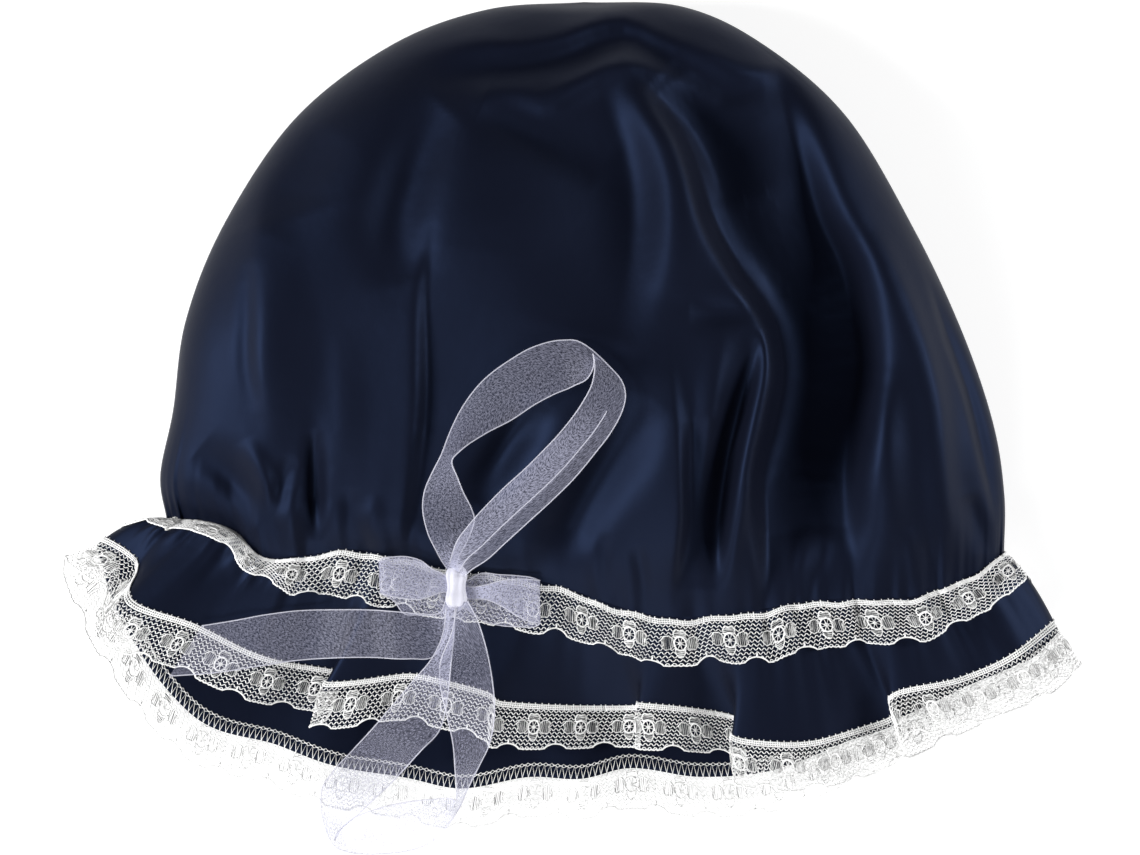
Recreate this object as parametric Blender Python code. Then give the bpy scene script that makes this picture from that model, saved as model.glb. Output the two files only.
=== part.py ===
"""A satin sleep bonnet that lies on its back: a puffed crown gathered at the neck, a frill below it,
lace over the neck line and along the hem, and a bow of organza ribbon at the front.

Run it with: blender --background --python part.py

The bonnet lies as it was put down, with the crown's top towards +Y, the opening towards -Y and the
front layer up (+Z). X runs across it. The origin is on the table, at the middle of the whole.

Tables and sizes are in millimetres. MM turns them into Blender's metres as each mesh is made.
"""

import bmesh
import bpy
import numpy as np
from mathutils import Vector
from mathutils.bvhtree import BVHTree

MM = 0.001

# Driving dimensions
SATIN_WALL = 1.1
LACE_WALL = 1.0
RIBBON_WALL = 1.0
ELASTIC_WALL = 1.0
GAP = 0.35
LACE_GAP = 0.5
LACE_WIDTH = 16.0
HEM_OVERLAP = 3.0
ELASTIC_WIDTH = 6.0
ELASTIC_FROM_NECK = 0.6
CROWN_TO_FRILL = 0.8

# The crown's cross-sections, from the neck to the top: where the side folds lie (left and right),
# where the front and back layers cross the middle, how high the front layer stands, how high the
# side folds are, and how far the back layer is off the table.
CROWN_COLUMNS = "left_x left_y right_x right_y front_y back_y loft rim lift".split()
CROWN_SECTIONS = (
    (-125, -28, 134, -38, -50, -60, 32, 13, 2.0),
    (-127, -14, 134, -20, -34, -42, 43, 16, 0),
    (-123, 6, 130.5, 2, -10, -14, 52, 19, 0),
    (-119, 34, 121, 30, 22, 20, 57, 21, 0),
    (-107, 64, 106, 62, 56, 56, 57, 21, 0),
    (-84, 96, 84, 97, 91, 91, 50, 20, 0),
    (-55, 118, 58, 119, 115.5, 115.5, 39, 18, 0.6),
    (-26, 129, 34, 130.5, 128, 128, 28, 17, 6),
    (4, 132.3, 4, 132.3, 132.3, 132.3, 16.5, 16.5, 16.5),
)
DOME_ROUND = 3.0
DOME_FULL = 0.5
BACK_FLAT = 1.3
BACK_ROUND = 0.5

# Folds of the front layer, each along three points in plan: how far it rises (or sinks, below
# zero), and how wide its left and right flanks are.
FOLD_COLUMNS = "x0 y0 x1 y1 x2 y2 rise left_flank right_flank".split()
CROWN_FOLDS = (
    (69, 104, 77, 50, 86, -46, -15, 9, 11),  # the deep valley right of the middle
    (62, 38, 58, 5, 50, -48, 5, 12, 6),  # the panel edge that laps over it
    (36, 92, 51, 62, 62, 38, -5, 6, 6),
    (19, 101, 28, 68, 24, 40, 4, 7, 6),
    (-16, 104, 17, 113, 66, 100, -6, 7, 7),  # the groove below the top roll
    (-88, 70, -79, 20, -86, -34, -6, 8, 7),  # the left pocket
    (-55, 60, -45, 25, -46, -22, -5, 7, 7),
    (-109, 42, -106, 5, -92, -28, 3, 8, 7),
)
FOLD_SAMPLES = 24
FOLD_END_SHARE = 0.12  # how little of its rise a fold has at its ends
FOLD_TAPER = 0.7
FOLD_RIM_FADE = 3.0

# The neck line of the front layer, where the lace's header is sewn, and the middle of the back one.
NECK_FRONT = (
    (-125, -28),
    (-113, -28.6),
    (-103, -32),
    (-96, -39),
    (-84, -39),
    (-72, -37),
    (-35, -43),
    (-10, -46.5),
    (29, -57.5),
    (50, -56.5),
    (75, -52.5),
    (111, -50),
    (126, -43.5),
    (134, -38),
)
NECK_FADE = 2.0

# The frill's satin hem, front layer from left to right: each panel starts high and ends low, and the
# next panel laps over its end.
HEM_FRONT = (
    (-147, -36, 14),
    (-142, -43, 15),
    (-132, -54, 21),
    (-115, -63.5, 19),
    (-100, -71, 16),
    (-79, -77.5, 11),
    (-69, -80.5, 19.5),
    (-50, -78, 19),
    (-24, -85.5, 17),
    (16, -87.5, 11),
    (26, -87, 19),
    (46.5, -91.7, 11),
    (56.5, -97, 19.5),
    (77, -98.5, 18),
    (93, -91.5, 10.5),
    (107, -83.5, 20),
    (122, -79, 18),
    (138, -72, 17),
    (151, -62.5, 14),
)
LAP_AT = (-137, -74, 21, 51.5, 100)
LAP_REACH = 7.0
LAP_OVER = (13, 15, 10, 13, 11)
LAP_START = 0.3  # the laps open from this share of the frill's length
LAP_GROWTH = 1.3
LAP_FADE = 0.25
HEM_BACK = (
    (-147, -36, 3),
    (-143, -50, 2.6),
    (-134, -68, 2.2),
    (-120, -86, 2.2),
    (-90, -98, 2.4),
    (-77, -103, 4),
    (-50, -108, 2.2),
    (-36, -111, 3.6),
    (-12, -107.5, 2.2),
    (4, -108, 4),
    (16, -105, 2.2),
    (40, -107.5, 2.2),
    (60, -106, 2.2),
    (89, -95, 2.6),
    (130, -76, 2.2),
    (145, -69, 2.6),
    (151, -62.5, 3),
)
HEM_SIDE_RIM = 8
HEM_SIDE_ROUND = 44
LACE_DROP = 0.3

# The bow's ribbons: the middle line in plan, how far it lies above what is under it, its width, its
# tilt about its own length, and how far one edge leads the other where an end is cut on the slant.
RIBBON_COLUMNS = "x y above width tilt slant".split()
BASE_BOW = (
    (-59.5, -47.3, 2.0, 16, 0, 0),
    (-50, -47.6, 1.4, 15.5, 0, 0),
    (-41, -48, 1.4, 12, 0, 0),
    (-35, -49, 1.4, 7, 0, 0),
    (-28, -50, 1.4, 8, 0, 0),
    (-18, -52.3, 1.4, 12, 0, 0),
    (-10, -53.3, 1.4, 15, 0, 0),
)
UPPER_LOOP = (
    (-37.6, -41.4, 2.6, 3.6, 0, 0),
    (-39, -31, 3, 11, 0, 0),
    (-39.8, -20, 3.5, 14.5, 15, 0),
    (-40.5, -12, 3, 14.5, 35, 0),
    (-36, -1, 3, 14.5, 20, 0),
    (-24, 10, 2.5, 15, 5, 0),
    (-12, 17.5, 2.5, 15, 5, 0),
    (0, 22, 3, 15, 30, 0),
    (8.5, 21.5, 3, 15, 50, 0),
    (11.5, 15, 4, 15, 45, 0),
    (9.5, 5.5, 5, 15, 20, 0),
    (1, -6, 5, 15, 8, 0),
    (-9, -15.5, 5, 14.5, 4, 0),
    (-19, -24.5, 6, 13, 0, 0),
    (-27.5, -32.5, 9, 9, 0, 0),
    (-33, -41.6, 4.6, 3.6, 0, 0),
)
LOWER_LOOP = (
    (-37.4, -54.9, 1.2, 4.2, 0, 0),
    (-41, -64, 3.5, 8, 0, 0),
    (-44, -76, 3.5, 13, 0, 0),
    (-51, -89, 3.5, 15, 0, 0),
    (-62, -102, 3, 15, 0, 0),
    (-70.5, -113, 3, 15, 10, 0),
    (-70.5, -122, 3, 12, 35, 0),
    (-61.5, -127.4, 3.2, 11, 50, 0),
    (-48, -124, 5, 12, 58, 0),
    (-38.5, -113, 9, 13, 62, 0),
    (-33, -102, 12, 14, 40, 0),
    (-30.8, -91, 14, 14.5, 12, 0),
    (-30.5, -80, 15, 14, 4, 0),
    (-30.5, -70, 14, 11, 0, 0),
    (-31.3, -62, 12, 7, 0, 0),
    (-33, -54.8, 3.6, 3.6, 0, 0),
)
RIBBON_TAIL = (
    (-40.6, -53.5, 1.6, 6, 0, 0),
    (-45, -58, 1.8, 11, 0, 0),
    (-50, -61, 1.2, 14.5, 0, 0),
    (-62, -62.6, 1.2, 15, 0, 0),
    (-84, -63.3, 1.4, 15, 0, 0),
    (-105, -65.6, 1.4, 15, 0, 0),
    (-119, -68.2, 1.4, 15, 0, 9),
)
KNOT_CENTRE = (-35.4, -48.2)
KNOT_SIZE = (7.0, 12.5, 6.5)

# How finely each cloth is divided
CROWN_AROUND = 52
CROWN_RINGS = 20
FRILL_AROUND = 100
FRILL_FRONT_SHARE = 0.66
FRILL_ROWS = (0.0, 0.4, 0.7, 1.0)
RIBBON_STEPS = 2
RIBBON_SMOOTHING = 2
FINE_STATIONS = 4001
LAP_DENSITY = 1.4
SIDE_DENSITY = 0.9
KNOT_SEGMENTS = 12
KNOT_RINGS = 8
KNOT_SQUARENESS = 0.8  # 1 is a ball, and less is a rounder block

# What lies under a ribbon is felt from above, at its own place and this far to each side of it
PROBE = 2.0
PROBE_FROM = 1000.0

# Surface finishes: colour and roughness
SATIN = ((0.012, 0.018, 0.052, 1), 0.38)
LACE = ((0.80, 0.80, 0.74, 1), 0.85)
ORGANZA = ((0.72, 0.72, 0.84, 1), 0.45)
ELASTIC = ((0.75, 0.75, 0.74, 1), 0.80)


def hermite(knots, values, at):
    """A smooth curve through a table: values (rows of numbers) at rising knots, read at any places."""
    knots = np.asarray(knots, float)
    values = np.asarray(values, float).reshape(len(knots), -1)
    slopes = np.gradient(values, knots, axis=0)
    at = np.clip(at, knots[0], knots[-1])
    index = np.clip(np.searchsorted(knots, at) - 1, 0, len(knots) - 2)
    span = (knots[index + 1] - knots[index])[:, None]
    t = (at - knots[index])[:, None] / span
    start, end = values[index], values[index + 1]
    out, back = slopes[index] * span, slopes[index + 1] * span
    return (
        (2 * t**3 - 3 * t**2 + 1) * start
        + (t**3 - 2 * t**2 + t) * out
        + (3 * t**2 - 2 * t**3) * end
        + (t**3 - t**2) * back
    )


def across(theta):
    """From -1 at the left side fold to 1 at the right one, over the front and back under it."""
    return -np.cos(theta)


def plan_of_line(table, x, column):
    rows = np.asarray(table, float)
    return hermite(rows[:, 0], rows[:, column], x)[:, 0]


def neck_front_y(x):
    return plan_of_line(NECK_FRONT, x, 1)


def crown_points(theta, along):
    """Points of the crown's outer face: theta runs round a section, along from 0, neck, to 1, top."""
    section = hermite(
        np.arange(len(CROWN_SECTIONS)), CROWN_SECTIONS, along * (len(CROWN_SECTIONS) - 1)
    )
    c = dict(zip(CROWN_COLUMNS, section.T))
    u = across(theta)
    front = np.sin(theta) >= 0
    half = (u + 1) / 2
    x = c["left_x"] + (c["right_x"] - c["left_x"]) * half
    side_y = c["left_y"] + (c["right_y"] - c["left_y"]) * half
    middle = (c["left_y"] + c["right_y"]) / 2
    bow = np.where(front, c["front_y"], c["back_y"]) - middle
    y = side_y + bow * (1 - u**2)

    # At the neck the front layer follows the lace's own line, and this fades up the crown.
    neck = dict(zip(CROWN_COLUMNS, CROWN_SECTIONS[0]))
    neck_x = neck["left_x"] + (neck["right_x"] - neck["left_x"]) * half
    plain = neck["left_y"] + (neck["right_y"] - neck["left_y"]) * half
    plain = plain + (neck["front_y"] - (neck["left_y"] + neck["right_y"]) / 2) * (1 - u**2)
    fade = np.clip(1 - NECK_FADE * along, 0, 1) ** 2
    y = y + np.where(front, (neck_front_y(neck_x) - plain) * fade, 0)

    dome = (1 - np.abs(u) ** DOME_ROUND) ** DOME_FULL
    top = c["rim"] + (c["loft"] - c["rim"]) * dome
    under = BACK_FLAT * np.abs(np.sin(theta)) ** BACK_ROUND
    lift = np.maximum(c["lift"], 0)
    bottom = np.maximum(c["rim"] + (lift - c["rim"]) * under, lift)
    z = np.where(front, top, bottom)
    inside = np.clip(FOLD_RIM_FADE * dome * (1 - along), 0, 1)
    z = z + np.where(front, fold_rise(x, y) * inside, 0)
    return np.column_stack([x, y, z])


def fold_rise(x, y):
    """How far the folds lift or sink the front layer at these places in plan."""
    total = np.zeros(len(x))
    steps = np.linspace(0, 1, FOLD_SAMPLES)
    for row in CROWN_FOLDS:
        f = dict(zip(FOLD_COLUMNS, row))
        ends = [(f["x0"], f["y0"]), (f["x1"], f["y1"]), (f["x2"], f["y2"])]
        line = hermite((0, 0.5, 1), ends, steps)
        way = np.gradient(line, axis=0)
        way /= np.linalg.norm(way, axis=1)[:, None]
        apart = np.stack([x[:, None] - line[:, 0], y[:, None] - line[:, 1]], axis=2)
        nearest = np.argmin((apart**2).sum(axis=2), axis=1)
        near = apart[np.arange(len(x)), nearest]
        heading = way[nearest]
        aside = near[:, 0] * heading[:, 1] - near[:, 1] * heading[:, 0]
        beyond = near[:, 0] * heading[:, 0] + near[:, 1] * heading[:, 1]
        downwards = np.sign(line[0, 1] - line[-1, 1])
        flank = np.where(aside * downwards > 0, f["left_flank"], f["right_flank"])
        share = FOLD_END_SHARE + (1 - 2 * FOLD_END_SHARE) * steps[nearest]
        taper = np.sin(np.pi * share) ** FOLD_TAPER
        total += f["rise"] * taper * np.exp(-((aside / flank) ** 2) - (beyond / flank) ** 2)
    return total


def hem_points(theta):
    """The frill's satin hem, without the laps."""
    u = across(theta)
    front = np.sin(theta) >= 0
    left, right = HEM_FRONT[0][0], HEM_FRONT[-1][0]
    x = left + (right - left) * (u + 1) / 2
    y = np.where(front, plan_of_line(HEM_FRONT, x, 1), plan_of_line(HEM_BACK, x, 1))
    z = np.where(front, plan_of_line(HEM_FRONT, x, 2), plan_of_line(HEM_BACK, x, 2))
    z = HEM_SIDE_RIM + (z - HEM_SIDE_RIM) * (1 - np.abs(u) ** HEM_SIDE_ROUND) ** 0.5
    return np.column_stack([x, y, z])


def frill_points(theta, down, past=0.0):
    """The frill's outer face: down runs from 0, neck, to 1, hem, and past is millimetres beyond it."""
    neck = crown_points(theta, np.zeros(len(theta)))
    hem = hem_points(theta)
    points = neck + (hem - neck) * np.reshape(down, (-1, 1))
    length = np.linalg.norm(hem - neck, axis=1)
    heading = (hem - neck) / length[:, None] * np.array([1, 1, LACE_DROP])
    points = points + heading * past
    in_front = np.clip(np.sin(theta) / LAP_FADE, 0, 1)
    opened = np.clip((np.asarray(down) - LAP_START) / (1 - LAP_START), 0, 1) ** LAP_GROWTH
    for at, over in zip(LAP_AT, LAP_OVER):
        t = (hem[:, 0] - at) / LAP_REACH
        points[:, 0] -= in_front * opened * over * t * np.exp(-(t**2) / 2)
    return points


def frill_stations():
    """Angles round the frill, closer together where a lap turns."""
    fine = np.linspace(0, 2 * np.pi, FINE_STATIONS)
    x = hem_points(fine)[:, 0]
    front = np.sin(fine) >= 0
    density = np.where(front, FRILL_FRONT_SHARE, 1 - FRILL_FRONT_SHARE)
    for at in LAP_AT:
        near_lap = np.exp(-(((x - at) / LAP_REACH) ** 2))
        density = density + np.where(front, LAP_DENSITY * near_lap, 0)
    density = density + SIDE_DENSITY * np.exp(-((np.sin(fine) / LAP_FADE) ** 2))
    total = np.cumsum(density)
    total = (total - total[0]) / (total[-1] - total[0])
    return np.interp(np.arange(FRILL_AROUND) / FRILL_AROUND, total, fine)


def normals_of(rows):
    """Outward directions of a grid of rows of points, each row a closed ring."""
    grid = np.array(rows)
    around = np.roll(grid, -1, axis=1) - np.roll(grid, 1, axis=1)
    along = np.gradient(grid, axis=0)
    out = np.cross(around, along)
    return out / np.maximum(np.linalg.norm(out, axis=2)[:, :, None], 1e-9)


def material(name, finish):
    colour, roughness = finish
    made = bpy.data.materials.new(name)
    made.use_nodes = True
    shader = made.node_tree.nodes["Principled BSDF"]
    shader.inputs["Base Color"].default_value = colour
    shader.inputs["Roughness"].default_value = roughness
    shader.inputs["Metallic"].default_value = 0.0
    made.diffuse_color = colour
    return made


def cloth(name, grid, finish, thickness, side, closed_ring=True, pole=None):
    """One cloth: a grid of points as a mesh, given its thickness by Solidify. side is -1 to thicken
    inwards, 1 outwards and 0 both ways. A pole closes the last row."""
    grid = np.asarray(grid) * MM
    mesh = bmesh.new()
    rows = [[mesh.verts.new(point) for point in row] for row in grid]
    count = len(rows[0])
    for low, high in zip(rows, rows[1:]):
        for i in range(count if closed_ring else count - 1):
            j = (i + 1) % count
            mesh.faces.new((low[i], low[j], high[j], high[i]))
    if pole is not None:
        tip = mesh.verts.new(np.asarray(pole) * MM)
        for i in range(count):
            mesh.faces.new((rows[-1][i], rows[-1][(i + 1) % count], tip))
    data = bpy.data.meshes.new(name)
    mesh.to_mesh(data)
    mesh.free()
    data.shade_smooth()
    data.materials.append(finish)
    made = bpy.data.objects.new(name, data)
    bpy.context.scene.collection.objects.link(made)
    wall = made.modifiers.new("wall", "SOLIDIFY")
    wall.thickness = thickness * MM
    wall.offset = side
    return made


def make_crown(satin):
    theta = np.arange(CROWN_AROUND) / CROWN_AROUND * 2 * np.pi
    rings = np.linspace(0, 1, CROWN_RINGS + 1)[:-1]
    grid = [crown_points(theta, np.full(len(theta), ring)) for ring in rings]
    grid[0] = grid[0] + np.array([0, CROWN_TO_FRILL, 0])
    tip = crown_points(np.zeros(1), np.ones(1))[0]
    return cloth("crown", grid, satin, SATIN_WALL, -1, pole=tip)


def frill_grid(stations, downs, pasts, offset=0.0):
    """Rows of the frill's face, pushed off it by offset, first the row that is nearest the neck."""
    rows = [frill_points(stations, down, past) for down, past in zip(downs, pasts)]
    grid = np.array(rows)
    return grid - normals_of(grid) * offset


def make_frill(satin, stations):
    grid = frill_grid(stations, FRILL_ROWS, [0.0] * len(FRILL_ROWS))
    return cloth("frill", grid[::-1], satin, SATIN_WALL, -1)


def neck_downs(stations, reach):
    """The share of the frill's length that lies within reach of the neck line, all the way round."""
    neck = crown_points(stations, np.zeros(len(stations)))
    return reach / np.linalg.norm(hem_points(stations) - neck, axis=1)


def make_elastic(finish, stations):
    reaches = (ELASTIC_FROM_NECK, ELASTIC_FROM_NECK + ELASTIC_WIDTH)
    downs = [neck_downs(stations, reach) for reach in reaches]
    grid = frill_grid(stations, downs, (0.0, 0.0), -(SATIN_WALL + LACE_GAP))
    return cloth("elastic_band", grid[::-1], finish, ELASTIC_WALL, -1)


def make_neck_lace(finish, stations):
    reaches = (0.0, LACE_WIDTH)
    downs = [neck_downs(stations, reach) for reach in reaches]
    grid = frill_grid(stations, downs, [0.0] * len(reaches), LACE_GAP)
    return cloth("neck_lace", grid[::-1], finish, LACE_WALL, 1)


def make_hem_lace(finish, stations):
    neck = crown_points(stations, np.zeros(len(stations)))
    length = np.linalg.norm(hem_points(stations) - neck, axis=1)
    downs = (1 - HEM_OVERLAP / length, 1.0, 1.0)
    pasts = (0.0, 0.0, LACE_WIDTH - HEM_OVERLAP)
    grid = frill_grid(stations, downs, pasts, LACE_GAP)
    return cloth("hem_lace", grid[::-1], finish, LACE_WALL, 1)


def surface_below(objects):
    """A function that gives the height, in millimetres, of what lies under a place in plan."""
    graph = bpy.context.evaluated_depsgraph_get()
    trees = [BVHTree.FromObject(made, graph) for made in objects]

    def height(x, y):
        highest = 0.0
        for aside in (-PROBE, 0, PROBE):
            for ahead in (-PROBE, 0, PROBE):
                start = Vector((x + aside, y + ahead, PROBE_FROM)) * MM
                hits = [tree.ray_cast(start, Vector((0, 0, -1)))[0] for tree in trees]
                highest = max([highest] + [hit.z / MM for hit in hits if hit])
        return highest

    return height


def ribbon_grid(rows, height):
    """Points across and along a ribbon that follows the surface under it."""
    table = np.array(rows, float)
    places = np.linspace(0, len(rows) - 1, (len(rows) - 1) * RIBBON_STEPS + 1)
    r = dict(zip(RIBBON_COLUMNS, hermite(np.arange(len(rows)), table, places).T))
    middle = np.column_stack([r["x"], r["y"]])
    way = np.gradient(middle, axis=0)
    way /= np.linalg.norm(way, axis=1)[:, None]
    aside = np.column_stack([-way[:, 1], way[:, 0]])
    tilt = np.radians(r["tilt"])
    flat = r["width"] / 2 * np.cos(tilt)
    upright = r["width"] / 2 * np.sin(tilt)
    low = []
    for centre, sideways in zip(middle, aside * flat[:, None]):
        low.append(max(height(*(centre + sideways * share)) for share in (-1, -0.5, 0, 0.5, 1)))
    low = np.array(low)
    for _ in range(RIBBON_SMOOTHING):
        spread = np.maximum(low, np.maximum(np.roll(low, 1), np.roll(low, -1)))
        spread[[0, -1]] = low[[0, -1]]
        low = np.maximum(low, (spread + low) / 2)
    z = low + r["above"] + np.abs(upright)
    grid = []
    for share in (-1, 0, 1):
        plan = middle + aside * (flat * share)[:, None]
        plan = plan + way * (r["slant"] * share / 2)[:, None]
        grid.append(np.column_stack([plan, z + upright * share]))
    return np.array(grid)


def make_ribbon(name, rows, finish, height, thickness=RIBBON_WALL):
    grid = ribbon_grid(rows, height)
    return cloth(name, grid, finish, thickness, 0, closed_ring=False)


def make_knot(finish, height):
    """The ribbon wrapped once about itself: a rounded block."""
    x, y = KNOT_CENTRE
    reach = KNOT_SIZE[1] / 4
    under = max(height(x, y + reach * j) for j in (-1, 0, 1))
    z = under + GAP + KNOT_SIZE[2] / 2
    bpy.ops.mesh.primitive_uv_sphere_add(
        segments=KNOT_SEGMENTS, ring_count=KNOT_RINGS, radius=1.0
    )
    made = bpy.context.object
    made.name = "bow_knot"
    half = np.array(KNOT_SIZE) / 2 * MM
    for vertex in made.data.vertices:
        place = np.array(vertex.co)
        vertex.co = Vector(np.sign(place) * np.abs(place) ** KNOT_SQUARENESS * half)
    made.location = Vector((x, y, z)) * MM
    made.data.shade_smooth()
    made.data.materials.append(finish)
    return made


def build():
    for made in list(bpy.data.objects):
        bpy.data.objects.remove(made, do_unlink=True)
    satin = material("satin", SATIN)
    lace = material("lace", LACE)
    organza = material("organza", ORGANZA)
    elastic = material("elastic", ELASTIC)

    stations = frill_stations()
    bag = [
        make_crown(satin),
        make_frill(satin, stations),
        make_neck_lace(lace, stations),
        make_hem_lace(lace, stations),
    ]
    make_elastic(elastic, stations)

    height = surface_below(bag)
    base = make_ribbon("base_bow", BASE_BOW, organza, height, 2 * RIBBON_WALL)
    make_knot(organza, surface_below(bag + [base]))
    tail = make_ribbon("ribbon_tail", RIBBON_TAIL, organza, surface_below(bag + [base]))
    lifted = surface_below(bag + [base, tail])
    make_ribbon("upper_loop", UPPER_LOOP, organza, lifted)
    make_ribbon("lower_loop", LOWER_LOOP, organza, lifted)


build()
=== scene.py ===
# %% [markdown]
# # A satin sleep bonnet, laid on its back
#
# The bonnet is a puffed satin bag gathered on an elastic, with a satin frill below it, one kind of
# lace over the neck line and along the hem, and a bow of sheer ribbon at the front. It lies as it
# was put down, and the camera looks straight down at it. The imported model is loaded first: it says
# where every piece is, and each cell below puts the finished cloth in the place of a plain one.

import bpy
import numpy as np
from mathutils import Matrix, Vector
from mathutils.bvhtree import BVHTree


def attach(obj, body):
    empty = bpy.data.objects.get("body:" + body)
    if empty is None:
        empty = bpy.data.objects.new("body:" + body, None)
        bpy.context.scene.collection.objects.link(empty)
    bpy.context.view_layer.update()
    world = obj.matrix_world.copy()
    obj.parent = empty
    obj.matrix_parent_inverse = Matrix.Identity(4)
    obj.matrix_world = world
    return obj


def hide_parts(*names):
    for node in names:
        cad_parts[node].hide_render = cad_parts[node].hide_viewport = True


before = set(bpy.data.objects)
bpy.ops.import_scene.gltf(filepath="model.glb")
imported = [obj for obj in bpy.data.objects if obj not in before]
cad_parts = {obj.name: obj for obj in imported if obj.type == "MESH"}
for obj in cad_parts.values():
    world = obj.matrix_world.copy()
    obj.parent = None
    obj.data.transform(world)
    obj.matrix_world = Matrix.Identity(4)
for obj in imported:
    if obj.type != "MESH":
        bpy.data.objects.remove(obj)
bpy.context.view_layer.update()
bpy.ops.object.select_all(action="DESELECT")
MM = 0.001
print("nodes:", ", ".join(sorted(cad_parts)))

# %% [markdown]
# ## Camera, table and light
#
# The picture was taken from straight above, with a long lens. A pixel of it is 0.31 mm of the table,
# so the focal length follows from the camera's height and the picture's size. A camera could also be
# aimed by hand until the outlines meet, but two sizes and one division do it exactly.

# %% The camera looks straight down
PIXEL_MM = 0.31
PHOTO_WIDTH, PHOTO_HEIGHT = 1140, 855
ORIGIN_PIXEL = (571, 430)
CAMERA_HEIGHT_MM = 6000.0
SENSOR_MM = 36.0

camera_data = bpy.data.cameras.new("camera")
camera_data.sensor_width = SENSOR_MM
camera_data.lens = SENSOR_MM * CAMERA_HEIGHT_MM / (PHOTO_WIDTH * PIXEL_MM)
camera = bpy.data.objects.new("camera", camera_data)
bpy.context.scene.collection.objects.link(camera)
middle_x = (PHOTO_WIDTH / 2 - ORIGIN_PIXEL[0]) * PIXEL_MM
middle_y = (ORIGIN_PIXEL[1] - PHOTO_HEIGHT / 2) * PIXEL_MM
camera.location = Vector((middle_x, middle_y, CAMERA_HEIGHT_MM)) * MM
bpy.context.scene.camera = camera
bpy.context.scene.view_settings.view_transform = "Standard"
print("lens", round(camera_data.lens, 1), "mm")

# %% A small class for shader maths
class Wire:
    """A socket's value on its way to the next node. + - * / and ** add Math nodes to its tree."""

    def __init__(self, tree, socket=None):
        self.tree, self.socket = tree, socket

    def node(self, kind, settings=None, sockets=None, output=0):
        made = self.tree.nodes.new(kind)
        for name, value in (settings or {}).items():
            setattr(made, name, value)
        for key, value in (sockets or {}).items():
            if isinstance(value, Wire):
                self.tree.links.new(value.socket, made.inputs[key])
            else:
                made.inputs[key].default_value = value
        return Wire(self.tree, made.outputs[output])

    def math(self, operation, second=0.0):
        return self.node("ShaderNodeMath", {"operation": operation}, {0: self, 1: second})

    def __add__(self, other):
        return self.math("ADD", other)

    def __sub__(self, other):
        return self.math("SUBTRACT", other)

    def __rsub__(self, other):
        return self.math("MULTIPLY", -1.0) + other

    def __mul__(self, other):
        return self.math("MULTIPLY", other)

    __radd__, __rmul__ = __add__, __mul__

    def __pow__(self, other):
        return self.math("POWER", other)

    def limited(self):
        return self.node("ShaderNodeClamp", None, {0: self})

    def mixed(self, low, high):
        """A colour between two colours, by this value."""
        sockets = {0: self, 6: low, 7: high}
        return self.node("ShaderNodeMix", {"data_type": "RGBA"}, sockets, output=2)

    def noise(self, scale, detail=2.0):
        """Cloudy noise, read at this place. A scale of three numbers stretches it."""
        place = self
        if isinstance(scale, tuple):
            place = self.node("ShaderNodeMapping", None, {"Vector": self, "Scale": scale})
            scale = 1.0
        sockets = {"Vector": place, "Scale": scale, "Detail": detail}
        return self.node("ShaderNodeTexNoise", None, sockets)


def new_finish(name, constants):
    """A material with one Principled shader, whose constant sockets are set here."""
    made = bpy.data.materials.new(name)
    made.use_nodes = True
    shader = made.node_tree.nodes["Principled BSDF"]
    for key, value in constants.items():
        shader.inputs[key].default_value = value
    return made, shader, Wire(made.node_tree)


def feed(wire, shader, key):
    wire.tree.links.new(wire.socket, shader.inputs[key])


# %% [markdown]
# The table is a plain pale sheet with a faint glow, as an overexposed white sweep has. Large soft
# lamps stand low at both sides and in front, and none hangs over the bonnet: satin mirrors what its
# folds face, so the lamps draw bright streaks on the flanks of the folds, while the parts that face
# straight up stay dark, as in the picture.

# %% Table, sky and lamps
TABLE_SIZE = 12.0
TABLE_DEPTH = -0.0006
TABLE_LOOK = {
    "Base Color": (0.5, 0.5, 0.5, 1),
    "Roughness": 0.9,
    "Specular IOR Level": 0.1,
    "Emission Color": (1, 1, 1, 1),
    "Emission Strength": 0.69,
}
SKY_LOOK = {"Color": (1.0, 1.0, 1.0, 1), "Strength": 0.10}
# each lamp's name, its place and width in metres, and its watts
LAMPS = (
    ("left lamp", -1.75, -0.1, 1.15, 0.6, 54),
    ("right lamp", 1.75, 0.3, 0.8, 0.6, 36),
    ("front lamp", -0.5, -1.9, 1.2, 0.9, 26),
)

bpy.ops.mesh.primitive_plane_add(size=TABLE_SIZE, location=(0, 0, 0))
table = bpy.context.object
table.name = "table"
table.data.transform(Matrix.Translation((0, 0, TABLE_DEPTH)))
table.data.materials.append(new_finish("pale_table", TABLE_LOOK)[0])

sky = bpy.data.worlds.new("sky")
bpy.context.scene.world = sky
sky.use_nodes = True
for key, value in SKY_LOOK.items():
    sky.node_tree.nodes["Background"].inputs[key].default_value = value

for name, x, y, z, width, watts in LAMPS:
    light = bpy.data.lights.new(name, "AREA")
    light.size, light.energy = width, watts
    holder = bpy.data.objects.new(name, light)
    holder.location = (x, y, z)
    holder.rotation_euler = (-holder.location).to_track_quat("-Z", "Y").to_euler()
    bpy.context.scene.collection.objects.link(holder)
print(len(LAMPS), "lamps")

# %% [markdown]
# ## Finishes
#
# Satin is woven with long floats on its face, so light slides along it in soft blue-tinted glints.
# The finish is a very dark navy with a tinted gloss. Its colour and roughness wander a little, as
# dyed cloth's do, and a fine weave is a bump along the cloth's own directions.

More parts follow.
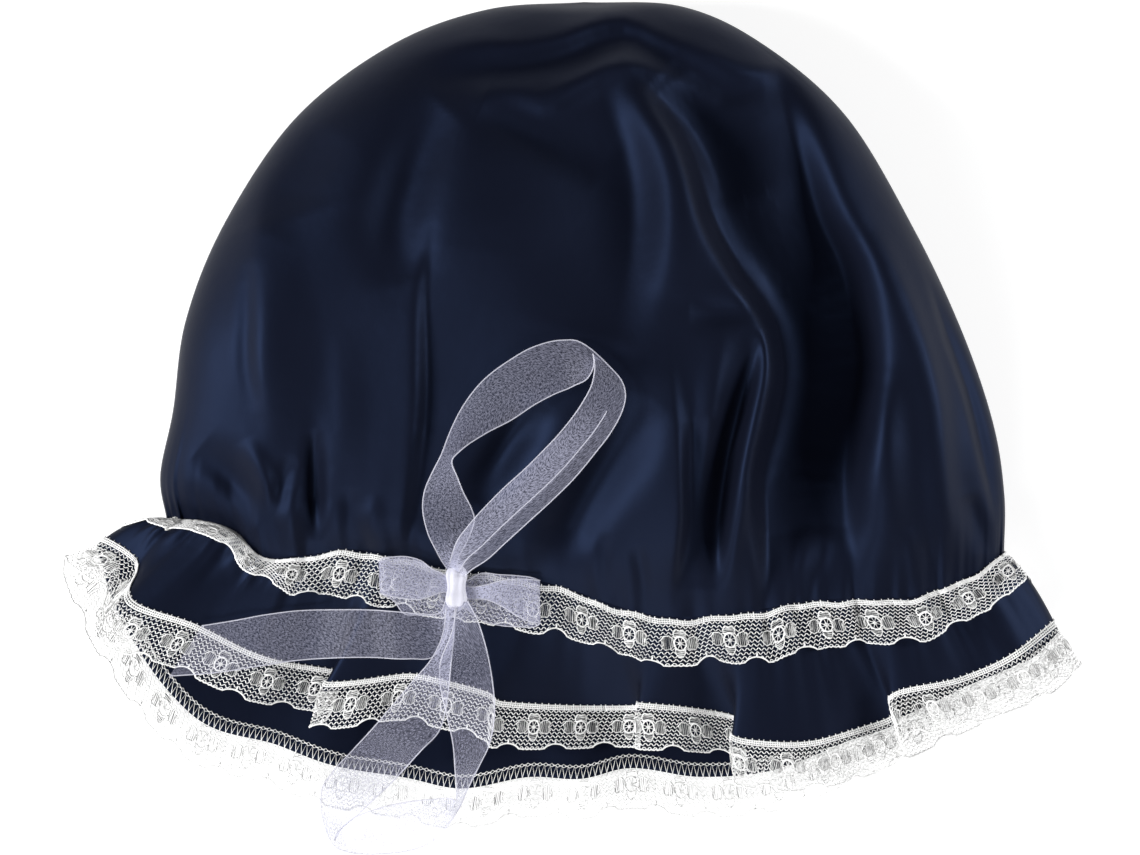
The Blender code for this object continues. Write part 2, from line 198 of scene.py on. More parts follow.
# %% Satin
NAVY_DEEP = (0.0027, 0.0031, 0.0064, 1)
NAVY_LIGHT = (0.0043, 0.0050, 0.0104, 1)
GLINT_TINT = (0.24, 0.42, 1.0, 1)
CLOUD_SCALE, CREASE_SCALE, WEAVE_SCALE = 26.0, 90.0, (3600.0, 700.0, 1.0)
SATIN_ROUGH, SATIN_ROUGHER = 0.48, 0.12
WEAVE_BUMP = {"Strength": 0.25, "Distance": 0.00006}
CREASE_BUMP = {"Strength": 0.35, "Distance": 0.0006}

satin, satin_shader, wires = new_finish(
    "navy_satin", {"Specular IOR Level": 0.2, "Specular Tint": GLINT_TINT}
)
place = wires.node("ShaderNodeTexCoord", output="Object")
cloudy, creases = place.noise(CLOUD_SCALE, 3.0), place.noise(CREASE_SCALE, 3.0)
weave = wires.node("ShaderNodeTexCoord", output="UV").noise(WEAVE_SCALE)
feed(cloudy.mixed(NAVY_DEEP, NAVY_LIGHT), satin_shader, "Base Color")
feed(SATIN_ROUGH + SATIN_ROUGHER * cloudy, satin_shader, "Roughness")
small = wires.node("ShaderNodeBump", None, {**WEAVE_BUMP, "Height": weave})
soft = wires.node("ShaderNodeBump", None, {**CREASE_BUMP, "Height": creases, "Normal": small})
feed(soft, satin_shader, "Normal")

# %% [markdown]
# Lace is matt off-white cotton. The ribbon is organza: a sheer plain weave, so its finish lets most
# of the light through, with a fine grain of denser threads, and a firmer cord along both edges. The
# knot is the same ribbon in many layers, so it lets almost nothing through.

# %% Lace thread, organza, selvedge and elastic
LACE_WHITE = (0.97, 0.97, 0.965, 1)
LACE_SHADE = (0.82, 0.82, 0.815, 1)
LACE_PATCH_SCALE, LACE_CONTRAST, LACE_CUT = 900.0, 2.4, 0.7
ORGANZA_LAVENDER = (0.41, 0.415, 0.545, 1)
ORGANZA_WHITE = (0.66, 0.66, 0.75, 1)
RIBBON_ALPHA, KNOT_ALPHA, SELVEDGE_ALPHA = (0.04, 0.37), (0.80, 0.97), (0.40, 0.70)
WARP_SCALE, WEFT_SCALE = (1200.0, 2700.0, 1.0), (2700.0, 1200.0, 1.0)
GRAIN_CONTRAST, GRAIN_CUT = 2.6, 2.1
ELASTIC_WHITE = (0.80, 0.80, 0.78, 1)
ELASTIC_SHADE = (0.62, 0.62, 0.60, 1)
RUBBER = {"Scale": 280.0, "Distortion": 0.6, "Detail": 1.0}


def organza_finish(name, colour, least, most):
    """Sheer cloth. Where its attribute says that several layers lie together, it is denser."""
    constants = {"Base Color": colour, "Roughness": 0.5, "Specular IOR Level": 0.3}
    made, shader, wires = new_finish(name, constants)
    along = wires.node("ShaderNodeTexCoord", output="UV")
    warp, weft = along.noise(WARP_SCALE), along.noise(WEFT_SCALE)
    grain = ((warp + weft) * GRAIN_CONTRAST - GRAIN_CUT).limited()
    kept = wires.node("ShaderNodeAttribute", {"attribute_name": "layers"}, output="Fac")
    clear = 1.0 - (least + (most - least) * grain)
    feed(1.0 - clear ** kept.math("MAXIMUM", 1.0), shader, "Alpha")
    return made


lace_thread, lace_shader, wires = new_finish(
    "lace_thread", {"Roughness": 0.8, "Specular IOR Level": 0.2}
)
patchy = wires.node("ShaderNodeTexCoord", output="Object").noise(LACE_PATCH_SCALE)
worn = (patchy * LACE_CONTRAST - LACE_CUT).limited()
feed(worn.mixed(LACE_SHADE, LACE_WHITE), lace_shader, "Base Color")
organza = organza_finish("organza_ribbon", ORGANZA_LAVENDER, *RIBBON_ALPHA)
dense_organza = organza_finish("organza_knot", ORGANZA_WHITE, *KNOT_ALPHA)
selvedge = organza_finish("organza_selvedge", ORGANZA_WHITE, *SELVEDGE_ALPHA)
elastic_finish, elastic_shader, wires = new_finish("woven_elastic", {"Roughness": 0.8})
ribs = wires.node("ShaderNodeTexCoord", output="UV")
rubber = wires.node("ShaderNodeTexWave", {"bands_direction": "X"}, {"Vector": ribs, **RUBBER})
feed(rubber.mixed(ELASTIC_SHADE, ELASTIC_WHITE), elastic_shader, "Base Color")
print(len(bpy.data.materials), "finishes")

# %% [markdown]
# ## The satin bag
#
# On the real bonnet the crown is a round of satin, gathered all round its edge. Laid down, it is a
# low dome with a flat back and soft side folds. It could be blown up by a cloth simulation, but then
# the folds would fall where they like. Here the dome is a loft through nine cross-sections, the same
# as the imported crown's, and every fold that the picture shows is laid on it one by one.

# %% Curves through tables
def hermite(knots, values, at):
    """A smooth curve through a table: rows of values at rising knots, read at any places."""
    knots = np.asarray(knots, float)
    values = np.asarray(values, float).reshape(len(knots), -1)
    slopes = np.gradient(values, knots, axis=0)
    at = np.clip(at, knots[0], knots[-1])
    index = np.clip(np.searchsorted(knots, at) - 1, 0, len(knots) - 2)
    span = (knots[index + 1] - knots[index])[:, None]
    t = (at - knots[index])[:, None] / span
    start, end = values[index], values[index + 1]
    out, back = slopes[index] * span, slopes[index + 1] * span
    return (
        (2 * t**3 - 3 * t**2 + 1) * start
        + (t**3 - 2 * t**2 + t) * out
        + (3 * t**2 - 2 * t**3) * end
        + (t**3 - t**2) * back
    )


def unit(vectors):
    """The same directions, with a length of one."""
    return vectors / np.maximum(np.linalg.norm(vectors, axis=-1, keepdims=True), 1e-9)


def far_along(line, least=0.0):
    """How far along a line each of its points is, in steps that count for at least so much."""
    steps = np.linalg.norm(np.diff(line, axis=0), axis=1)
    return np.concatenate([[0], np.cumsum(np.maximum(steps, least))])


def through(points, count):
    """A smooth curve of count points through a few chosen ones, by the way between them."""
    far = far_along(np.asarray(points, float))
    return hermite(far, points, np.linspace(0, far[-1], count))


# %% The crown's cross-sections, in millimetres
CROWN_COLUMNS = "left_x left_y right_x right_y front_y back_y loft rim lift".split()
CROWN_SECTIONS = (
    (-125, -28, 134, -38, -50, -60, 32, 13, 2.0),
    (-127, -14, 134, -20, -34, -42, 43, 16, 0),
    (-123, 6, 130.5, 2, -10, -14, 52, 19, 0),
    (-119, 34, 121, 30, 22, 20, 57, 21, 0),
    (-107, 64, 106, 62, 56, 56, 57, 21, 0),
    (-85, 96.5, 85, 97, 91, 91, 50, 20, 0),
    (-55.5, 119, 59, 119.5, 115.5, 115.5, 39, 18, 0.6),
    (-26, 130, 34, 131, 128, 128, 28, 17, 6),
    (4, 132.3, 4, 132.3, 132.3, 132.3, 16.5, 16.5, 16.5),
)
NECK_FRONT = (
    (-125, -28), (-113, -28.6), (-103, -32), (-96, -39), (-84, -39), (-72, -37), (-35, -43),
    (-10, -46.5), (29, -57.5), (50, -56.5), (75, -52.5), (111, -50), (126, -43.5), (134, -38),
)
DOME_ROUND, DOME_FULL = 3.0, 0.5
BACK_FLAT, BACK_ROUND = 1.3, 0.5
NECK_FADE = 2.0
FOLD_RIM_FADE, FOLD_TOP_FADE = 3.0, 14.0
FOLD_NECK_SHARE, FOLD_NECK_FADE = 0.25, 7.0

# %% [markdown]
# Each fold is a line that a finger would draw along its crest or its valley, with how far it lifts
# the cloth (or sinks it, below zero) and how far its left and right flanks reach, seen looking down
# the crown. A steep flank beside a wide one makes the sharp edge of a fold that laps over the next.

# %% The crown's folds: lift, left flank, right flank, and the line along them
FOLDS = (
    # the deep shadowed valley on the right, between the steep edges of the layers on both sides
    (-18, 3.2, 17.5, ((27, 104), (34, 94), (39.5, 81), (44.5, 65), (53, 49.6), (63.5, 34),
                      (66.5, 18.6), (64, 3), (60, -12.4), (60.5, -28), (62, -54))),
    (-17, 19, 7, ((62, 112), (66, 96), (70.5, 80.6), (75.5, 65), (83, 49.6), (86, 34),
                    (87.5, 18.6), (85.5, 3), (83.5, -12.4), (83.5, -28), (83.5, -52))),
    (-5, 5, 14, ((24, 106), (30, 101), (37, 94), (44, 82), (49, 68))),
    (4, 9, 4, ((50, 54), (58.5, 36), (61.7, 18.6), (58.6, 3), (55.5, -12.4), (51, -28),
               (46.5, -49))),
    # the narrow rolls left of it
    (-9, 5, 3, ((57, 30), (55, 18.6), (51, 3), (47.7, -12.4), (45.6, -28), (44, -49))),
    (2.5, 6, 3.5, ((46, 30), (43.5, 3), (43, -12), (42, -28), (41, -46))),
    (-6, 2, 10, ((38, 4), (37, -14), (37, -28), (34, -49))),
    (3.5, 12, 3, ((30, 20), (32, 0), (33, -15), (33, -30), (30, -49))),
    (-2.4, 4, 4, ((36, 37), (47, 36), (59, 37))),
    # the bright streak in the middle and the long slope that sinks towards it from the left
    (2.8, 6, 16, ((17, 108), (23.5, 96), (28, 86), (30, 80), (31.5, 65), (30.5, 50), (29, 40))),
    (-8, 24, 9, ((5, 110), (11.5, 96), (16.5, 81), (18, 65), (16.5, 50), (11, 28))),
    # the rolls and grooves below the top edge
    (2.4, 5, 4, ((-42.5, 116), (-27.6, 119), (-14.6, 118), (-3.7, 120), (6.8, 124.6), (14.6, 126.4),
               (19.8, 124.6), (28.5, 120), (39, 116), (52, 112), (69, 110.7))),
    (-5, 5, 6, ((-42.5, 108.5), (-28.5, 110.5), (-14.6, 112.8), (0.6, 116.3), (11.2, 120),
                (17.7, 120.9), (25, 117), (36, 110.7), (46.8, 105.4), (59.5, 105.4))),
    (2.8, 4, 5, ((-31.6, 99), (-21, 103.5), (-14.6, 103), (-8, 101), (0.6, 105.4), (9, 110),
                 (15.5, 112.5), (24.2, 112.5), (32, 110), (41.2, 104), (45.6, 98))),
    (-4, 6, 10, ((-28, 99), (-12, 92), (-2, 87), (9, 79))),
    # the soft valley at the upper left, and the long panel edge below it
    (-6.5, 10, 9, ((-38, 99), (-41.5, 95.5), (-49, 80), (-53.5, 60), (-50, 45))),
    (-6, 3, 34, ((-42.5, 56), (-43.5, 40), (-43.5, 28), (-43.5, 10), (-45, -8.5), (-48, -30),
                 (-52, -44))),
    # the left pocket and the panels on both sides of it
    (0.8, 4, 6, ((-71, 32), (-70, 7), (-71, -18.5))),
    (-6, 17, 42, ((-84, 66), (-79, 48), (-76, 34), (-76, 18), (-79, 3), (-79, -12), (-79, -34))),
    (-5, 3, 3, ((-79, 0), (-79, -20), (-79, -38))),
    (-2, 9, 9, ((-72, 92), (-84, 76), (-92, 60))),
    (3.5, 7, 18, ((-93, 74), (-96, 50), (-96, 34), (-94.5, 18.6), (-91, 3), (-89.6, -12.4))),
    (-1.8, 3, 3, ((-99, 52), (-99.5, 34), (-99.5, 18.6), (-97, 6))),
    (-3.4, 5, 6, ((-115, -6), (-105, -14.5), (-97.5, -30))),
    (2.6, 4, 3, ((-100, -3), (-94, -16), (-89, -31))),
    (-2.2, 3, 3, ((-86, -8), (-90, -18.5), (-92.5, -32))),
    (2.0, 3, 3, ((-86, -18), (-86, -28), (-86, -38))),
    # the right side: long streaks, and the layer that shows beyond the front's edge
    (-3.2, 1.6, 4, ((111, 46), (116, 30), (122.5, 12), (127.5, -8.5), (132, -28))),
    (4, 7, 4, ((92, 62), (98.5, 50), (112, 12), (115, -18.5), (118.5, -44))),
    (2.2, 8, 6, ((93, 20), (97, -10), (99, -40))),
    (-2.2, 3, 3, ((123, -20), (125, -28), (127, -38))),
    # the slanting panels behind the ribbon
    (-6, 5, 7, ((-9.5, 9.5), (-19, -3), (-31, -22))),
    (-7.5, 8, 9, ((24, 9), (14, -6), (3, -24), (-8, -50))),
    # short gathers that spring from the lace
    (1.4, 3, 3, ((74, -30), (71, -42), (66, -54))),
    (-1.5, 2.5, 2.5, ((79, -34), (76, -44), (73, -53))),
    (1.3, 2.5, 2.5, ((104, -30), (105, -41), (105, -50))),
    (-1.3, 2, 2, ((110, -34), (111, -42), (111, -50))),
    (-1.5, 2.4, 2.4, ((20, -36), (22, -46), (23, -56))),
    (-1.3, 2.2, 2.2, ((10, -32), (10, -42), (10, -51))),
    (1.3, 2.6, 2.6, ((-60, -20), (-62, -29), (-62, -38))),
    (-1.6, 2.6, 2.6, ((-68, -18), (-68, -28), (-67, -38))),
)
FOLD_SAMPLES = 26
FOLD_END_SHARE, FOLD_TAPER, FOLD_END_REACH = 0.02, 0.75, 8


def fold_rise(x, y):
    """How far the folds lift or sink the front layer at these places in plan."""
    total = np.zeros(len(x))
    spots = np.column_stack([x, y])
    for lift, left_flank, right_flank, points in FOLDS:
        line = through(points, FOLD_SAMPLES)
        way = unit(np.gradient(line, axis=0))
        steps = np.diff(line, axis=0)
        apart = spots[:, None] - line[:-1]
        share = np.clip((apart * steps).sum(axis=2) / (steps**2).sum(axis=1), 0, 1)
        off = apart - share[:, :, None] * steps
        index = np.argmin((off**2).sum(axis=2), axis=1)
        row = np.arange(len(x))
        share, off = share[row, index], off[row, index]
        heading = way[index] + (way[index + 1] - way[index]) * share[:, None]
        aside = off[:, 0] * heading[:, 1] - off[:, 1] * heading[:, 0]
        beyond = off[:, 0] * heading[:, 0] + off[:, 1] * heading[:, 1]
        along = FOLD_END_SHARE + (1 - 2 * FOLD_END_SHARE) * (index + share) / len(steps)
        taper = np.sin(np.pi * along) ** FOLD_TAPER
        to_left = aside * np.sign(line[0, 1] - line[-1, 1]) > 0
        flank = np.where(to_left, left_flank, right_flank)
        end_reach = min(left_flank + right_flank, FOLD_END_REACH)
        total += lift * taper * np.exp(-((aside / flank) ** 2) - (beyond / end_reach) ** 2)
    return total


# %% [markdown]
# Elastic pulls the neck in, so many small gathers run out of it into the crown and into the frill.
# They are sums of a few waves of different lengths, which never repeat within one turn of the neck.

# %% Gathers at the neck
GATHER_WAVES = ((5.3, 0.30, 0.4), (7.7, 0.42, 2.1), (12.1, 0.5, 4.0), (3.7, 0.14, 1.0))
SWELL, SWELL_MORE, SWELL_LONG, SWELL_SHORT = 0.75, 0.5, 23.0, 9.1
CROWN_GATHER_REACH, FRILL_GATHER_REACH, GATHER_SIDE_FADE = 9.0, 13.0, 6
NECK_HALF_ROUND = 270.0


def gathers(theta):
    """How far the gathers lift the cloth at the neck, round it."""
    far = theta / np.pi * NECK_HALF_ROUND
    swell = SWELL + SWELL_MORE * np.sin(far / SWELL_LONG) * np.sin(far / SWELL_SHORT)
    far = 2 * np.pi * far
    waves = [size * np.sin(far / length + start) for length, size, start in GATHER_WAVES]
    return swell * np.sum(waves, axis=0)


def across(theta):
    """From -1 at the left side fold to 1 at the right one, over the front and back under it."""
    return -np.cos(theta)


def of_line(table, x, column):
    """A column of a table, read at places between those of its first column."""
    rows = np.asarray(table, float)
    return hermite(rows[:, 0], rows[:, column], x)[:, 0]


# %% The crown's face
def in_plan(section, u, front):
    """Where a section's outline runs, bowed out between its two side points."""
    half = (u + 1) / 2
    x = section["left_x"] + (section["right_x"] - section["left_x"]) * half
    side_y = section["left_y"] + (section["right_y"] - section["left_y"]) * half
    middle = (section["left_y"] + section["right_y"]) / 2
    bow = np.where(front, section["front_y"], section["back_y"]) - middle
    return x, side_y + bow * (1 - u**2)


def crown_points(theta, along):
    """Points of the crown's outer face: theta runs round it, and along from 0, neck, to 1, top."""
    spot = along * (len(CROWN_SECTIONS) - 1)
    section = hermite(np.arange(len(CROWN_SECTIONS)), CROWN_SECTIONS, spot)
    c = dict(zip(CROWN_COLUMNS, section.T))
    u = across(theta)
    front = np.sin(theta) >= 0
    x, y = in_plan(c, u, front)
    neck_x, plain = in_plan(dict(zip(CROWN_COLUMNS, CROWN_SECTIONS[0])), u, True)
    fade = np.clip(1 - NECK_FADE * along, 0, 1) ** 2
    y = y + np.where(front, (of_line(NECK_FRONT, neck_x, 1) - plain) * fade, 0)

    dome = (1 - np.abs(u) ** DOME_ROUND) ** DOME_FULL
    top = c["rim"] + (c["loft"] - c["rim"]) * dome
    under = BACK_FLAT * np.abs(np.sin(theta)) ** BACK_ROUND
    lift = np.maximum(c["lift"], 0)
    bottom = np.maximum(c["rim"] + (lift - c["rim"]) * under, lift)
    z = np.where(front, top, bottom)
    inside = np.clip(FOLD_RIM_FADE * dome, 0, 1) * np.clip(FOLD_TOP_FADE * (1 - along), 0, 1)
    free = np.clip(FOLD_NECK_FADE * along, 0, 1)
    inside = inside * (FOLD_NECK_SHARE + (1 - FOLD_NECK_SHARE) * free)
    z[front] += fold_rise(x[front], y[front]) * inside[front]
    from_neck = np.abs(y - of_line(NECK_FRONT, x, 1))
    pull = np.exp(-from_neck / CROWN_GATHER_REACH)
    pull = pull * np.clip(np.sin(theta) * GATHER_SIDE_FADE, 0, 1)
    z = z + np.where(front, gathers(theta) * pull, 0)
    return np.column_stack([x, y, z])


# %% [markdown]
# A sheet of cloth is a grid of points, first joined into a mesh. Its own directions are kept in a UV
# map, in metres along and across the cloth, so a weave follows every fold.

# %% Make a mesh from a grid of points
def spans(points, axis):
    """Lengths along a grid of points, counted from its first row or column."""
    steps = np.linalg.norm(np.diff(points, axis=axis), axis=2)
    ends = np.zeros_like(np.take(steps, [0], axis=axis))
    return np.concatenate([ends, np.cumsum(steps, axis=axis)], axis=axis)


def grid_faces(rows, count, ring):
    """Each face's row, its column and the column after it, and then the faces."""
    columns = np.arange(count if ring else count - 1)
    low, side = (part.ravel() for part in np.meshgrid(np.arange(rows - 1), columns, indexing="ij"))
    after = (side + 1) % count
    first, second = low * count, (low + 1) * count
    faces = np.column_stack([first + side, first + after, second + after, second + side])
    return low, side, after, faces.tolist()


def mesh_object(name, points, faces, finish):
    """A smooth object from points in millimetres."""
    mesh = bpy.data.meshes.new(name)
    mesh.from_pydata((points * MM).tolist(), [], faces)
    mesh.shade_smooth()
    mesh.materials.append(finish)
    made = bpy.data.objects.new(name, mesh)
    bpy.context.scene.collection.objects.link(made)
    return made


def cloth(name, grid, finish, ring=False, pole=None):
    """A sheet's object, from rows of points in millimetres, whose ends are joined for a ring."""
    grid = np.asarray(grid, float)
    rows, count = grid.shape[:2]
    points = grid.reshape(-1, 3)
    low, side, after, faces = grid_faces(rows, count, ring)
    grid = grid * MM
    closed = np.concatenate([grid, grid[:, :1]], axis=1) if ring else grid
    u, v = spans(closed, 1), spans(grid, 0)
    corners = [
        np.stack([u[low, side], v[low, side]], 1),
        np.stack([u[low, side + 1], v[low, after]], 1),
        np.stack([u[low + 1, side + 1], v[low + 1, after]], 1),
        np.stack([u[low + 1, side], v[low + 1, side]], 1),
    ]
    flat = np.stack(corners, axis=1).reshape(-1, 2)
    if pole is not None:
        points = np.vstack([points, pole])
        last = (rows - 1) * count
        fan = [(last + i, last + (i + 1) % count, rows * count) for i in range(count)]
        faces += fan
        flat = np.vstack([flat, np.zeros((3 * len(fan), 2))])
    made = mesh_object(name, points, faces, finish)
    layer = made.data.uv_layers.new(name="cloth")
    layer.data.foreach_set("uv", flat.ravel())
    return made


def give_wall(piece, thick):
    """A wall of so many millimetres, which grows inwards."""
    wall = piece.modifiers.new("wall", "SOLIDIFY")
    wall.thickness, wall.offset = thick * MM, -1


def declare(piece, node):
    """Say which body the piece moves with, and hide the plain part that it stands for."""
    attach(piece, "root")
    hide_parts(node)


def report(piece):
    """Print a piece's faces and size."""
    size = np.array(piece.dimensions) / MM
    print(piece.name, len(piece.data.polygons), "faces,", np.round(size, 1), "mm")


# %% The crown
FRONT_STEPS, BACK_STEPS, CROWN_ROWS = 380, 110, 150
CROWDED, EVEN = 0.6, 0.4


def ring_angles(front, back):
    """Angles round a section, more of them over the front layer and closest at its two sides."""
    even = np.linspace(-1, 1, front + 1)[:-1]
    u = CROWDED * np.sin(np.pi / 2 * even) + EVEN * even
    return np.concatenate([np.arccos(-u), np.pi + np.pi * np.arange(back) / back])


crown_ring = ring_angles(FRONT_STEPS, BACK_STEPS)
crown_ups = np.linspace(0, 1, CROWN_ROWS + 1)[:-1]
flat_ring = np.tile(crown_ring, CROWN_ROWS)
crown_grid = crown_points(flat_ring, np.repeat(crown_ups, len(crown_ring)))
crown_grid = crown_grid.reshape(CROWN_ROWS, len(crown_ring), 3)
crown_tip = crown_points(np.zeros(1), np.ones(1))[0]
crown = cloth("crown_satin", crown_grid, satin, ring=True, pole=crown_tip)
declare(crown, "crown")
report(crown)

# %% [markdown]
# ## The frill
#
# The frill is a long strip of the same satin, gathered to the neck. Its front layer falls in panels:
# each starts high at its left edge and laps over the low end of the one before it. A panel edge is
# the strip turning back on itself, which is made by sliding the cloth sideways to and fro round each
# lap. The back layer lies flat on the table and shows below the front one.

# %% The frill's hem line and laps, in millimetres
HEM_FRONT = (
    (-147, -36, 14), (-142, -43, 15), (-132, -54, 21), (-115, -63.5, 19), (-100, -71, 16),
    (-79, -77.5, 11), (-69, -80.5, 19.5), (-50, -78, 19), (-24, -85.5, 17), (16, -87.5, 11),
    (26, -87, 19), (46.5, -91.7, 11), (56.5, -97, 19.5), (77, -98.5, 18), (93, -91.5, 10.5),
    (107, -83.5, 20), (122, -79, 18), (138, -72, 17), (151, -62.5, 14),
)
HEM_BACK = (
    (-147, -36, 3), (-143, -50, 2.6), (-134, -68, 2.2), (-120, -86, 2.2), (-90, -98, 2.4),
    (-77, -103, 4), (-50, -108, 2.2), (-36, -111, 3.6), (-12, -107.5, 2.2), (4, -108, 4),
    (16, -105, 2.2), (40, -107.5, 2.2), (60, -106, 2.2), (89, -95, 2.6), (130, -76, 2.2),
    (145, -69, 2.6), (151, -62.5, 3),
)
LAP_AT = (-137, -74, -24, 21, 51.5, 100)
LAP_REACH = 7.0
LAP_OVER = (13, 15, 8, 10, 13, 11)
LAP_START, LAP_GROWTH, LAP_FADE = 0.3, 1.3, 0.25
HEM_SIDE_RIM, HEM_SIDE_ROUND = 8, 44
LACE_DROP = 0.3
SIDE_BULGE, SIDE_BULGE_POWER, SIDE_BULGE_ROUND = 3.2, 10, 0.8
FRILL_GATHER_SHARE, FRILL_WAVE_HIGH = 0.9, 0.9
ROLL_LONG, ROLL_SHORT, ROLL_SHORT_SHARE, ROLL_START = 6.1, 3.7, 0.6, 1.2


def hem_points(theta):
    """The frill's satin hem, without the laps."""
    u = across(theta)
    front = np.sin(theta) >= 0
    left, right = HEM_FRONT[0][0], HEM_FRONT[-1][0]
    x = left + (right - left) * (u + 1) / 2
    y = np.where(front, of_line(HEM_FRONT, x, 1), of_line(HEM_BACK, x, 1))
    z = np.where(front, of_line(HEM_FRONT, x, 2), of_line(HEM_BACK, x, 2))
    z = HEM_SIDE_RIM + (z - HEM_SIDE_RIM) * (1 - np.abs(u) ** HEM_SIDE_ROUND) ** 0.5
    return np.column_stack([x, y, z])


def neck_and_hem(theta):
    """The frill's upper and lower line, and how far apart they are."""
    neck, hem = crown_points(theta, np.zeros(len(theta))), hem_points(theta)
    return neck, hem, np.linalg.norm(hem - neck, axis=1)


def frill_points(theta, down, past=0.0):
    """The frill's outer face: down runs from 0, neck, to 1, hem, and past goes on beyond it."""
    neck, hem, length = neck_and_hem(theta)
    points = neck + (hem - neck) * np.reshape(down, (-1, 1))
    heading = (hem - neck) / length[:, None] * np.array([1, 1, LACE_DROP])
    points = points + heading * past
    in_front = np.clip(np.sin(theta) / LAP_FADE, 0, 1)
    opened = np.clip((np.asarray(down) - LAP_START) / (1 - LAP_START), 0, 1) ** LAP_GROWTH
    for at, over in zip(LAP_AT, LAP_OVER):
        t = (hem[:, 0] - at) / LAP_REACH
        points[:, 0] -= in_front * opened * over * t * np.exp(-(t**2) / 2)
    from_neck = np.asarray(down) * length
    bulge = SIDE_BULGE * np.abs(across(theta)) ** SIDE_BULGE_POWER
    points[:, 1] += bulge * np.sin(np.pi * np.clip(down, 0, 1)) ** SIDE_BULGE_ROUND
    puff = np.sin(np.clip(from_neck / FRILL_GATHER_REACH, 0, 1) * np.pi) ** 2
    far = theta / np.pi * NECK_HALF_ROUND
    rolling = np.sin(far / ROLL_LONG) + ROLL_SHORT_SHARE * np.sin(far / ROLL_SHORT + ROLL_START)
    puffed = puff * gathers(theta) * FRILL_GATHER_SHARE
    points[:, 2] += in_front * (puffed + FRILL_WAVE_HIGH * down * rolling)
    return points


# %% Even steps round the frill, and its faces' directions
FINE_STEPS = 6001


def even_ring(rows_of, step):
    """Angles round the frill a set length apart, measured along one of its lines."""
    fine = np.linspace(0, 2 * np.pi, FINE_STEPS)
    far = far_along(rows_of(fine))
    count = int(round(far[-1] / step))
    return np.interp(np.arange(count) / count * far[-1], far, fine), far[-1]


def normals_of(grid):
    """Outward directions of a grid of rows of points, each row a closed ring, neck row first."""
    around = np.roll(grid, -1, axis=1) - np.roll(grid, 1, axis=1)
    return unit(np.cross(np.gradient(grid, axis=0), around))


FRILL_STEP, FRILL_ROWS = 1.2, 34
SATIN_THICK = 0.35
frill_ring, hem_length = even_ring(lambda t: frill_points(t, np.ones(len(t))), FRILL_STEP)
frill_grid = np.array([frill_points(frill_ring, down) for down in np.linspace(0, 1, FRILL_ROWS)])
frill = cloth("frill_satin", frill_grid[::-1], satin, ring=True)
give_wall(frill, SATIN_THICK)
declare(frill, "frill")
report(frill)

# %% [markdown]
# ## Thread work
#
# Lace, overlock stitches and the ribbons' edges are all thread. A thread is a line on a flat pattern,
# in millimetres along and across the strip. It is laid on the curved band by looking up each of its
# points there, and given three sides. A picture of lace with holes would be quicker, but threads
# catch the light and cast shadows on the satin, and still look like thread from the side.

# %% Lay flat patterns on a curved band
class Band:
    """A curved strip: rows_of(angles, v) gives its points v millimetres across it."""

    def __init__(self, rows_of, head_v, width, step=0.9, rows=None):
        self.ring, self.length = even_ring(lambda t: rows_of(t, head_v), step)
        self.levels = np.linspace(0, width, rows or int(width) + 1)
        self.grid = np.array([rows_of(self.ring, v) for v in self.levels])
        self.out = normals_of(self.grid)

    def at(self, u, v, lift):
        """Points on the band and its outward directions there, for arrays of u and v."""
        count = len(self.ring)
        spot = np.mod(u, self.length) / self.length * count
        i = np.floor(spot).astype(int) % count
        s = (spot - np.floor(spot))[..., None]
        level = np.clip(v / self.levels[-1], 0, 1) * (len(self.levels) - 1)
        j = np.clip(np.floor(level).astype(int), 0, len(self.levels) - 2)
        t = (level - j)[..., None]
        past = (v - np.clip(v, 0, self.levels[-1]))[..., None]
        k = (i + 1) % count

        def mixed(values):
            low = values[j, i] * (1 - s) + values[j, k] * s
            high = values[j + 1, i] * (1 - s) + values[j + 1, k] * s
            return low * (1 - t) + high * t, high - low

        point, down = mixed(self.grid)
        out = unit(mixed(self.out)[0])
        return point + unit(down) * past + out * lift, out


def tubes(paths, out, radius, sides=3):
    """Threads along many lines of as many points each: points and faces, with closed ends."""
    way = unit(np.gradient(paths, axis=1))
    aside = unit(np.cross(way, out))
    up = np.cross(aside, way)
    turns = np.arange(sides) / sides * 2 * np.pi + np.pi / 2
    rings = paths[:, :, None] + radius * (
        np.cos(turns)[:, None] * aside[:, :, None] + np.sin(turns)[:, None] * up[:, :, None]
    )
    many, points = paths.shape[:2]
    start = np.arange(many)[:, None, None] * points * sides
    low = start + np.arange(points - 1)[None, :, None] * sides
    side = np.arange(sides)[None, None, :]
    nxt = (side + 1) % sides
    quads = np.stack([low + sides + side, low + sides + nxt, low + nxt, low + side], axis=-1)
    first = start[:, 0] + np.arange(sides)
    last = start[:, 0] + points * sides - 1 - np.arange(sides)
    faces = quads.reshape(-1, 4).tolist() + first.tolist() + last.tolist()
    return rings.reshape(-1, 3), faces


class ThreadWork:
    """Collects threads into one mesh."""

    def __init__(self):
        self.points, self.faces, self.total = [], [], 0

    def add(self, points, faces):
        self.points.append(points)
        self.faces += [tuple(corner + self.total for corner in face) for face in faces]
        self.total += len(points)

    def made(self, name, finish):
        return mesh_object(name, np.vstack(self.points), self.faces, finish)


# %% [markdown]
# ## The lace
#
# Both strips are cut from one roll, 16 mm wide: a dense header braid with tiny loops, a net of wavy
# threads, a row of worked flowers with an open eye, and a cord along the lower edge that arches up
# between the flowers. One repeat is drawn once on the flat and copied along the band.

